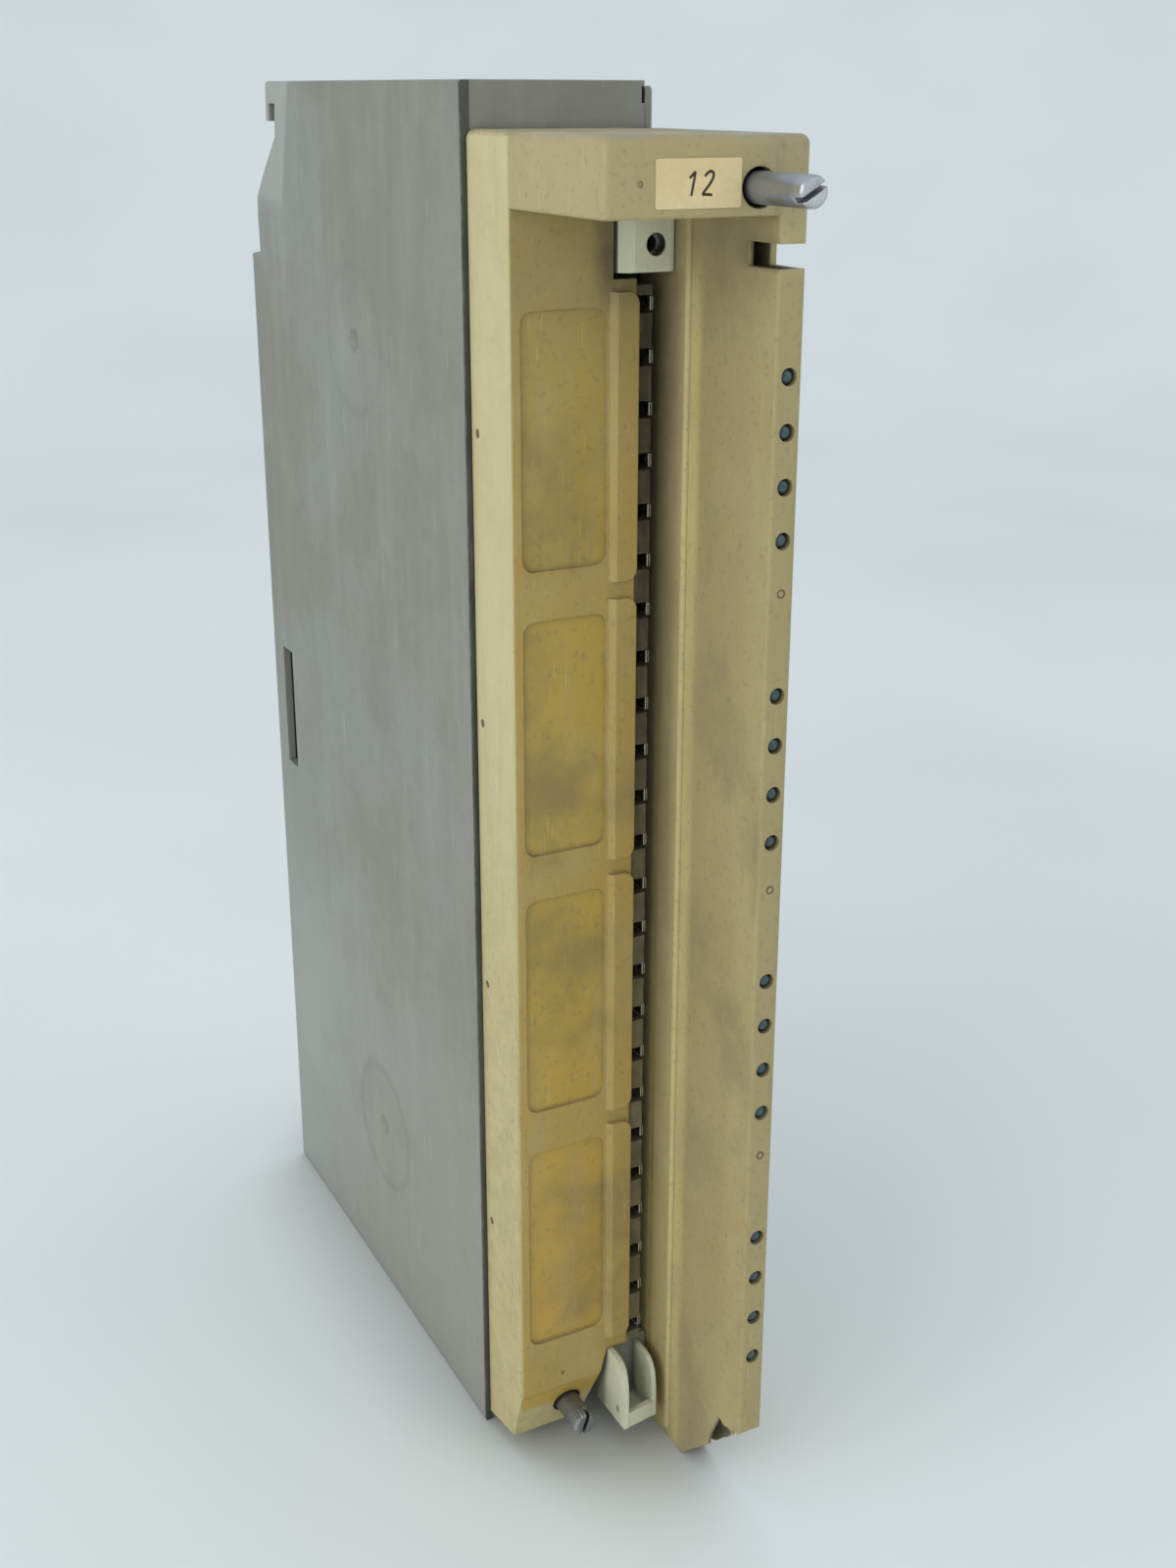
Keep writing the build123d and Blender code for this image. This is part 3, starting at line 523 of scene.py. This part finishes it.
finishOfSlot = {
    "housing_grey": housingGrey, "frame_beige": frameBeige, "strip_tan": stripTan,
    "fitting_grey": fittingGrey, "label_paper": labelPaper, "screw_zinc": screwZinc,
    "zinc_steel": zincSteel, "contact_metal": contactMetal, "lamp_lens": lampLens,
    "board_green": boardGreen, "connector_black": connectorBlack, "chip_black": chipBlack,
    "sink_aluminium": sinkAluminium, "fuse_glass": fuseGlass, "clip_brass": clipBrass,
    "coupler_white": couplerWhite, "capacitor_blue": capacitorBlue, "network_red": networkRed,
}
for subpart in frame["record"]["subparts"]:
    mesh = cadNodes[subpart["node"]].data
    mesh.materials.clear()
    mesh.materials.append(finishOfSlot[subpart["material_slot"]])
print("CAD nodes finished")


# helpers for pieces made here
def newPiece(name, mesh, material):
    mesh.materials.clear()
    mesh.materials.append(material)
    piece = bpy.data.objects.new(name, mesh)
    bpy.context.scene.collection.objects.link(piece)
    return piece


def meshFrom(shape, name, smoothAngle=None):
    bmesh.ops.remove_doubles(shape, verts=shape.verts, dist=1e-7)
    bmesh.ops.recalc_face_normals(shape, faces=shape.faces)
    mesh = bpy.data.meshes.new(name)
    shape.to_mesh(mesh)
    shape.free()
    if smoothAngle is not None:
        mesh.shade_smooth()
        mesh.set_sharp_from_angle(angle=math.radians(smoothAngle))
    return mesh


def joinRings(shape, rings, sides):
    # faces from each ring to the next; a ring of one point is a closed end
    for first, second in zip(rings, rings[1:]):
        for side in range(sides):
            after = (side + 1) % sides
            if len(first) == 1:
                shape.faces.new((first[0], second[side], second[after]))
            elif len(second) == 1:
                shape.faces.new((first[side], second[0], first[after]))
            else:
                shape.faces.new((first[side], second[side], second[after], first[after]))


def turned(profile, sides, place=(0.0, 0.0), rim=None):
    # turn (y, radius) points about an axis along Y through (x, z); rim changes a ring's radius by its side
    shape = bmesh.new()
    rings = []
    for index, (y, radius) in enumerate(profile):
        if radius == 0:
            rings.append([shape.verts.new((place[0], y, place[1]))])
            continue
        ring = []
        for side in range(sides):
            turn = 2 * math.pi * side / sides
            reach = radius * (rim(index, side) if rim else 1.0)
            x, z = place[0] + reach * math.cos(turn), place[1] + reach * math.sin(turn)
            ring.append(shape.verts.new((x, y, z)))
        rings.append(ring)
    joinRings(shape, rings, sides)
    return shape


def addBox(shape, low, high):
    size = [high[i] - low[i] for i in range(3)]
    middle = [(high[i] + low[i]) / 2 for i in range(3)]
    matrix = Matrix.Translation(middle) @ Matrix.Diagonal((*size, 1.0))
    bmesh.ops.create_cube(shape, size=1.0, matrix=matrix)


def addLeaf(shape, path, width, thickness):
    # a bent strip of sheet: a path of (x, y) points, thickened across it and as wide as width along Z
    points = [Vector(point) for point in path]
    sides = []
    for index, point in enumerate(points):
        before = points[max(index - 1, 0)]
        after = points[min(index + 1, len(points) - 1)]
        along = (after - before).normalized()
        across = Vector((-along.y, along.x)) * thickness / 2
        corners = []
        for face, end in ((1, -1), (1, 1), (-1, 1), (-1, -1)):
            corner = point + face * across
            corners.append(shape.verts.new((corner.x, corner.y, end * width / 2)))
        sides.append(corners)
    for first, second in zip(sides, sides[1:]):
        for corner in range(4):
            after = (corner + 1) % 4
            shape.faces.new((first[corner], first[after], second[after], second[corner]))
    shape.faces.new(sides[0])
    shape.faces.new(list(reversed(sides[-1])))


def evaluatedMesh(piece):
    graph = bpy.context.evaluated_depsgraph_get()
    solved = piece.evaluated_get(graph)
    return bpy.data.meshes.new_from_object(solved, preserve_all_data_layers=True, depsgraph=graph)


def applyTree(piece, tree, values):
    modifier = piece.modifiers.new(tree.name, "NODES")
    modifier.node_group = tree
    for item in tree.interface.items_tree:
        if item.item_type == "SOCKET" and item.in_out == "INPUT" and item.name in values:
            modifier[item.identifier] = values[item.name]
    plain = evaluatedMesh(piece)
    piece.modifiers.remove(modifier)
    piece.data = plain
    return piece


def newGeometryTree(name, inputs):
    return newGroup(name, inputs, [("Geometry", "Geometry")], "GeometryNodeTree")


def buildRepeatTree():
    # rows of one small part: Count along Step, and Groups of them along Group Step
    tree, given, result = newGeometryTree("repeatInGroups", [
        ("Geometry", "Geometry", None), ("Start", "Vector", (0, 0, 0)), ("Count", "Int", 4),
        ("Step", "Vector", (0, 0, 0)), ("Groups", "Int", 1), ("Group Step", "Vector", (0, 0, 0)),
        ("Tilt", "Float", 0.0), ("Seed", "Int", 7), ("Material", "Material", None)])
    row = addNode(tree, "GeometryNodeMeshLine", {
        "Count": given["Count"], "Offset": given["Step"]}, mode="OFFSET")
    groups = addNode(tree, "GeometryNodeMeshLine", {
        "Count": given["Groups"], "Start Location": given["Start"],
        "Offset": given["Group Step"]}, mode="OFFSET")
    rows = addNode(tree, "GeometryNodeInstanceOnPoints", {
        "Points": groups.outputs["Mesh"], "Instance": row.outputs["Mesh"]})
    places = addNode(tree, "GeometryNodeRealizeInstances", {"Geometry": rows.outputs["Instances"]})
    tilt = addNode(tree, "ShaderNodeCombineXYZ", {axis: given["Tilt"] for axis in "XYZ"})
    back = addNode(tree, "ShaderNodeVectorMath", {
        0: tilt.outputs[0], 1: (-1.0, -1.0, -1.0)}, operation="MULTIPLY")
    turn = addNode(tree, "FunctionNodeRandomValue", None, data_type="FLOAT_VECTOR")
    tree.links.new(back.outputs[0], turn.inputs[0])
    tree.links.new(tilt.outputs[0], turn.inputs[1])
    tree.links.new(given["Seed"], turn.inputs["Seed"])
    parts = addNode(tree, "GeometryNodeInstanceOnPoints", {
        "Points": places.outputs["Geometry"], "Instance": given["Geometry"], "Rotation": turn.outputs[0]})
    real = addNode(tree, "GeometryNodeRealizeInstances", {"Geometry": parts.outputs["Instances"]})
    done = addNode(tree, "GeometryNodeSetMaterial", {
        "Geometry": real.outputs["Geometry"], "Material": given["Material"]})
    tree.links.new(done.outputs["Geometry"], result["Geometry"])
    return tree


def buildThreadTree():
    # a helical ridge about the Y axis, as long as Length, that stands on a rod of the root radius
    tree, given, result = newGeometryTree("screwThread", [
        ("Root Radius", "Float", 0.002), ("Ridge", "Float", 0.0004), ("Length", "Float", 0.0075),
        ("Turns", "Float", 9.0), ("Place", "Vector", (0, 0, 0)), ("Material", "Material", None)])
    helix = addNode(tree, "GeometryNodeCurveSpiral", {
        "Resolution": 24, "Rotations": given["Turns"], "Start Radius": given["Root Radius"],
        "End Radius": given["Root Radius"], "Height": given["Length"]})
    profile = addNode(tree, "GeometryNodeCurvePrimitiveCircle", {
        "Resolution": 4, "Radius": given["Ridge"]}, mode="RADIUS")
    ridge = addNode(tree, "GeometryNodeCurveToMesh", {
        "Curve": helix.outputs["Curve"], "Profile Curve": profile.outputs["Curve"], "Fill Caps": True})
    placed = addNode(tree, "GeometryNodeTransform", {
        "Geometry": ridge.outputs["Mesh"], "Translation": given["Place"],
        "Rotation": (-math.pi / 2, 0.0, 0.0)})
    real = addNode(tree, "GeometryNodeRealizeInstances", {"Geometry": placed.outputs["Geometry"]})
    done = addNode(tree, "GeometryNodeSetMaterial", {
        "Geometry": real.outputs["Geometry"], "Material": given["Material"]})
    tree.links.new(done.outputs["Geometry"], result["Geometry"])
    return tree


repeatTree = buildRepeatTree()
threadTree = buildThreadTree()
print("geometry trees built")

# captive screws: slotted ends, ring grooves and threads
screwValues = {
    "sides": 48, "headRadius": 2.8 * mm, "rodRadius": 2.0 * mm, "grooveRadius": 1.5 * mm,
    "chamfer": 0.45 * mm, "slotWidth": 1.0 * mm, "slotDepth": 2.3 * mm, "threadLength": 8.0 * mm,
    "threadRoot": 2.06 * mm, "threadRidge": 0.40 * mm, "pitch": 0.8 * mm, "knurlDepth": 0.09,
    "wearJitter": 0.04, "edgeRound": 0.12 * mm, "edgeAngle": 40, "shoulder": 0.3 * mm,
    "ringPlay": 0.05 * mm, "runIn": 0.1 * mm, "cutterAhead": 3.0 * mm, "cutterHalf": 6.0 * mm,
    "smoothAngle": 35,
}
screws = {
    "top": {"headLength": 56.8 * mm, "slotTurn": 60.0, "knurled": False, "seed": 3},
    "bottom": {"headLength": 13.5 * mm, "slotTurn": 20.0, "knurled": True, "seed": 5},
}


def screwProfile(low, high, ring, headLength):
    v = screwValues
    headEnd = low.y + headLength
    grooveStart, grooveEnd = ring[0].y - v["ringPlay"], ring[1].y + v["ringPlay"]
    threadStart = high.y - v["threadLength"]
    return [
        (low.y, 0.0), (low.y, v["headRadius"] - v["chamfer"]), (low.y + v["chamfer"], v["headRadius"]),
        (low.y + 4 * v["chamfer"], v["headRadius"]), (low.y + 8 * v["chamfer"], v["headRadius"]),
        (headEnd - v["shoulder"], v["headRadius"]), (headEnd, v["headRadius"] - v["shoulder"]),
        (headEnd, v["rodRadius"]), (grooveStart, v["rodRadius"]), (grooveStart, v["grooveRadius"]),
        (grooveEnd, v["grooveRadius"]), (grooveEnd, v["rodRadius"]),
        (threadStart, v["rodRadius"]), (threadStart + v["runIn"], v["threadRoot"]),
        (high.y - v["chamfer"], v["threadRoot"]), (high.y, v["threadRoot"] - v["chamfer"]), (high.y, 0.0)]


def makeScrew(which, choice):
    v = screwValues
    low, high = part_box("captive_screw_" + which)
    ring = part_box("retaining_ring_" + which)
    place = ((low.x + high.x) / 2, (low.z + high.z) / 2)
    chance = random.Random(choice["seed"])
    jitter = [1.0 - v["wearJitter"] * chance.random() for _ in range(v["sides"])]

    def rim(index, side):
        if index > 3:
            return 1.0
        tooth = 1.0 - v["knurlDepth"] * (side % 2) if choice["knurled"] else 1.0
        return tooth * (jitter[side] if index < 3 else 1.0)

    shape = turned(screwProfile(low, high, ring, choice["headLength"]), v["sides"], place, rim)
    body = newPiece(
        which + "ScrewBody", meshFrom(shape, which + "ScrewBody", v["smoothAngle"]), screwZinc)
    cutterShape = bmesh.new()
    addBox(
        cutterShape, (-v["slotWidth"] / 2, -v["cutterAhead"], -v["cutterHalf"]),
        (v["slotWidth"] / 2, v["slotDepth"], v["cutterHalf"]))
    turnSlot = Matrix.Rotation(math.radians(choice["slotTurn"]), 4, "Y")
    stand = Matrix.Translation((place[0], low.y, place[1])) @ turnSlot
    bmesh.ops.transform(cutterShape, matrix=stand, verts=cutterShape.verts)
    cutter = newPiece(which + "SlotCutter", meshFrom(cutterShape, which + "SlotCutter"), screwZinc)
    cut = body.modifiers.new("slot", "BOOLEAN")
    cut.operation = "DIFFERENCE"
    cut.object = cutter
    cut.solver = "EXACT"
    softened = body.modifiers.new("softened", "BEVEL")
    softened.width = v["edgeRound"]
    softened.segments = 2
    softened.limit_method = "ANGLE"
    softened.angle_limit = math.radians(v["edgeAngle"])
    plain = evaluatedMesh(body)
    body.modifiers.clear()
    body.data = plain
    bpy.data.objects.remove(cutter)
    thread = newPiece(which + "ScrewThread", bpy.data.meshes.new(which + "ScrewThread"), screwZinc)
    length = v["threadLength"] - 2 * v["chamfer"]
    applyTree(thread, threadTree, {
        "Root Radius": v["threadRoot"], "Ridge": v["threadRidge"], "Length": length,
        "Turns": length / v["pitch"], "Material": screwZinc,
        "Place": (place[0], high.y - v["threadLength"] + v["chamfer"], place[1])})
    for piece in (body, thread):
        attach(piece, which + "_screw")
    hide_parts("captive_screw_" + which)


for which, choice in screws.items():
    makeScrew(which, choice)
print("captive screws made")

# sixteen status lamps: a domed lens in a thin collar, on its two legs
lampValues = {
    "radius": 1.5 * mm, "dome": 0.75 * mm, "collar": 1.6 * mm, "front": 0.4 * mm, "collarY": 3.6 * mm,
    "rear": 4.6 * mm, "pitch": 10.0 * mm, "groupPitch": 60.0 * mm, "inGroup": 4, "groups": 4, "tilt": 0.025,
    "sides": 24, "domeSteps": 6, "smoothAngle": 40, "legSpread": 1.2 * mm, "legWidth": 0.4 * mm,
    "legLength": 9.4 * mm, "legOverlap": 0.1 * mm,
}


def makeLamps(v):
    low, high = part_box("indicator_lamps")
    centreX = low.x + v["collar"]
    steps = v["domeSteps"]
    profile = [(0.0, 0.0)]
    for step in range(1, steps + 1):
        turn = math.pi / 2 * step / steps
        profile.append((v["dome"] * (1 - math.cos(turn)), v["radius"] * math.sin(turn)))
    collar, back = v["collarY"] - v["front"], v["rear"] - v["front"]
    profile += [(collar, v["radius"]), (collar, v["collar"]), (back, v["collar"]), (back, 0.0)]
    shape = turned(profile, v["sides"])
    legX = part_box("circuit_board")[1].x - centreX
    half = v["legWidth"] / 2
    for side in (-1, 1):
        z = side * v["legSpread"]
        addBox(
            shape, (legX, back - v["legOverlap"], z - half),
            (legX + v["legWidth"], back + v["legLength"], z + half))
    lamps = newPiece("statusLamps", meshFrom(shape, "statusLamps", v["smoothAngle"]), lampLens)
    topZ = high.z - v["collar"]
    applyTree(lamps, repeatTree, {
        "Start": (centreX, low.y, topZ), "Count": v["inGroup"], "Step": (0.0, 0.0, -v["pitch"]),
        "Groups": v["groups"], "Group Step": (0.0, 0.0, -v["groupPitch"]), "Tilt": v["tilt"],
        "Material": lampLens})
    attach(lamps, "module")
    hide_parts("indicator_lamps")


makeLamps(lampValues)
print("status lamps made")

# twenty-four contact springs: two leaves with flared mouths, bent over to the board behind
springValues = {
    "count": 24, "pitch": 10.16 * mm, "width": 2.6 * mm, "thickness": 0.24 * mm, "gap": 0.30 * mm,
    "mouth": 0.26 * mm, "belly": 0.20 * mm, "swell": 1.1, "inset": 0.3 * mm,
    "bends": (0.12 * mm, 0.9 * mm, 2.6 * mm, 5.0 * mm), "leafEnd": 0.5 * mm, "web": 0.7 * mm,
}


def makeSprings(v):
    low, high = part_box("contact_blades")
    start = Vector((low.x + v["inset"], low.y, high.z - v["width"] / 2))
    depth = high.y - low.y
    reach = high.x - start.x
    shape = bmesh.new()
    for side in (-1, 1):
        half = side * v["gap"] / 2
        across = (side * v["mouth"], half, side * v["belly"], half * v["swell"], half)
        path = list(zip(across, (*v["bends"], depth - v["leafEnd"])))
        addLeaf(shape, path, v["width"], v["thickness"])
    addBox(shape, (-v["inset"], depth - v["web"], -v["width"] / 2), (reach, depth, v["width"] / 2))
    springs = newPiece("contactSprings", meshFrom(shape, "contactSprings"), contactMetal)
    applyTree(springs, repeatTree, {
        "Start": tuple(start), "Count": v["count"], "Step": (0.0, 0.0, -v["pitch"]), "Groups": 1,
        "Group Step": (0.0, 0.0, 0.0), "Tilt": 0.0, "Material": contactMetal})
    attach(springs, "module")
    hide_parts("contact_blades")


makeSprings(springValues)
print("contact springs made")

# backplane contacts: pairs of leaves in the rear socket
socketValues = {
    "count": 16, "pitch": 5.08 * mm, "width": 1.8 * mm, "thickness": 0.25 * mm, "spread": 0.36 * mm,
    "pinch": 0.16 * mm, "bendShares": (0.0, 0.45, 0.8, 1.0),
}


def makeSocketContacts(v):
    low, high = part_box("backplane_contacts")
    depth = high.y - low.y
    shape = bmesh.new()
    for side in (-1, 1):
        across = (v["spread"], v["spread"], v["pinch"], v["spread"])
        path = [(side * x, depth * share) for x, share in zip(across, v["bendShares"])]
        addLeaf(shape, path, v["width"], v["thickness"])
    contacts = newPiece("socketContacts", meshFrom(shape, "socketContacts"), contactMetal)
    applyTree(contacts, repeatTree, {
        "Start": ((low.x + high.x) / 2, low.y, low.z + v["width"] / 2), "Count": v["count"],
        "Step": (0.0, 0.0, v["pitch"]), "Groups": 1, "Group Step": (0.0, 0.0, 0.0), "Tilt": 0.0,
        "Material": contactMetal})
    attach(contacts, "module")
    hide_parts("backplane_contacts")


makeSocketContacts(socketValues)
print("socket contacts made")

# a plain hand-written number on the label, as flat pen strokes
inkValues = {
    "number": "12", "height": 4.0 * mm, "narrow": 0.8, "spacing": 3.4 * mm, "halfWidth": 3.2 * mm,
    "pen": 0.24 * mm, "lean": 0.22, "thickness": 0.03 * mm,
}
penStrokes = {
    "1": [[(0.25, 0.72), (0.42, 0.86), (0.55, 1.0), (0.54, 0.6), (0.52, 0.0)]],
    "2": [[(0.10, 0.78), (0.28, 0.99), (0.58, 0.97), (0.66, 0.74), (0.42, 0.38), (0.08, 0.03),
           (0.36, 0.06), (0.74, 0.02)]],
}


def makeInk(v):
    low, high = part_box("address_label")
    curve = bpy.data.curves.new("labelNumber", "CURVE")
    curve.dimensions = "3D"
    curve.bevel_depth = v["pen"]
    curve.bevel_resolution = 2
    curve.use_fill_caps = True
    for place, digit in enumerate(v["number"]):
        for stroke in penStrokes[digit]:
            spline = curve.splines.new("NURBS")
            spline.points.add(len(stroke) - 1)
            for point, (across, up) in zip(spline.points, stroke):
                x = (across + v["lean"] * up) * v["height"] * v["narrow"] + place * v["spacing"]
                point.co = (x, up * v["height"], 0.0, 1.0)
            spline.order_u = 3
            spline.use_endpoint_u = True
    drawn = bpy.data.objects.new("labelNumberCurve", curve)
    bpy.context.scene.collection.objects.link(drawn)
    mesh = evaluatedMesh(drawn)
    bpy.data.objects.remove(drawn)
    mesh.name = "labelNumber"
    flatten = Matrix.Diagonal((1.0, 1.0, v["thickness"] / v["pen"], 1.0))
    stand = Matrix.Rotation(math.pi / 2, 4, "X")
    middle = (low + high) / 2
    place = Matrix.Translation((middle.x - v["halfWidth"], low.y, middle.z - v["height"] / 2))
    mesh.transform(place @ stand @ flatten)
    number = newPiece("labelNumber", mesh, inkBlack)
    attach(number, "module")


makeInk(inkValues)
print("label number made")

# floor: a wide pale dish, so its far edge has no visible line
floorValues = {
    "radius": 2.4, "rise": 0.9, "flatShare": 0.5, "rings": 24, "sides": 96, "smoothAngle": 60,
    "colour": (0.90, 0.935, 0.905), "shade": (0.865, 0.90, 0.875), "cloudScale": 3.0,
    # colour and reach of the painted contact shadow around the module
    "paintedContactShadow": (0.55, 0.56, 0.53), "paintedShadowReach": 0.038, "roughness": 0.75, "specular": 0.15,
}


def makeFloor(v):
    material, tree, shader, coordinates = startMaterial("paleFloor")
    cloud = between(tree, noise(tree, coordinates, v["cloudScale"], 2.0), 0.35, 0.65)
    # painted contact shadow: the floor turns darker where ambient occlusion finds the module close by
    contactShadowOcclusion = addNode(tree, "ShaderNodeAmbientOcclusion", {"Distance": v["paintedShadowReach"]}, samples=8)
    pale = mixColour(tree, cloud, rgba(v["colour"]), rgba(v["shade"]))
    colour = mixColour(tree, between(tree, contactShadowOcclusion.outputs["AO"], 0.35, 0.95), rgba(v["paintedContactShadow"]), pale)
    tree.links.new(colour, shader.inputs["Base Color"])
    shader.inputs["Roughness"].default_value = v["roughness"]
    shader.inputs["Specular IOR Level"].default_value = v["specular"]
    shape = bmesh.new()
    rings = [[shape.verts.new((0.0, 0.0, 0.0))]]
    for index in range(1, v["rings"] + 1):
        share = index / v["rings"]
        radius = v["radius"] * share
        height = v["rise"] * max(0.0, (share - v["flatShare"]) / (1 - v["flatShare"])) ** 2
        ring = []
        for side in range(v["sides"]):
            turn = 2 * math.pi * side / v["sides"]
            ring.append(shape.verts.new((radius * math.cos(turn), radius * math.sin(turn), height)))
        rings.append(ring)
    joinRings(shape, rings, v["sides"])
    floor = newPiece("paleFloor", meshFrom(shape, "paleFloor", v["smoothAngle"]), material)
    if floor.data.polygons[0].normal.z < 0:
        floor.data.flip_normals()


makeFloor(floorValues)

# soft studio light: a large panel from the left, a weak one from the right, and a pale surround
lightValues = {
    "keyPlace": (-1.35, -0.45, 0.70), "keySize": 1.3, "keyPower": 8.0, "panelColour": (1.0, 0.985, 0.96),
    "fillPlace": (0.9, -1.3, 0.9), "fillSize": 1.4, "fillPower": 3.0, "aim": (0.0, 0.0, 0.12),
    "surround": (0.87, 0.95, 1.04), "surroundStrength": 0.72,
}


def makeLights(v):
    for name in ("key", "fill"):
        light = bpy.data.lights.new(name + "Panel", "AREA")
        light.size = v[name + "Size"]
        light.energy = v[name + "Power"]
        light.color = v["panelColour"]
        lamp = bpy.data.objects.new(name + "Panel", light)
        lamp.location = v[name + "Place"]
        aim = Vector(v["aim"]) - lamp.location
        lamp.rotation_euler = aim.to_track_quat("-Z", "Y").to_euler()
        bpy.context.scene.collection.objects.link(lamp)
    world = bpy.data.worlds.new("surround")
    world.use_nodes = True
    background = world.node_tree.nodes["Background"]
    background.inputs["Color"].default_value = rgba(v["surround"])
    background.inputs["Strength"].default_value = v["surroundStrength"]
    bpy.context.scene.world = world
    bpy.context.scene.view_settings.view_transform = "Standard"


makeLights(lightValues)

# the camera stands at the front left, a little above the module
cameraValues = {
    "place": (-0.16501, -0.39458, 0.30087), "yaw": -27.83, "pitch": -19.05, "roll": 0.18,
    "lens": 41.86, "sensor": 36.0, "shiftX": -0.0051, "shiftY": -0.040, "nearest": 0.01,
}


def makeCamera(v):
    data = bpy.data.cameras.new("view")
    data.sensor_width = v["sensor"]
    data.lens = v["lens"]
    data.shift_x = v["shiftX"]
    data.shift_y = v["shiftY"]
    data.clip_start = v["nearest"]
    camera = bpy.data.objects.new("view", data)
    yaw = Matrix.Rotation(math.radians(v["yaw"]), 4, "Z")
    pitch = Matrix.Rotation(math.radians(90 + v["pitch"]), 4, "X")
    roll = Matrix.Rotation(math.radians(v["roll"]), 4, "Z")
    camera.matrix_world = Matrix.Translation(v["place"]) @ (yaw @ pitch) @ roll
    bpy.context.scene.collection.objects.link(camera)
    bpy.context.scene.camera = camera


makeCamera(cameraValues)
print("floor, lights and camera placed")
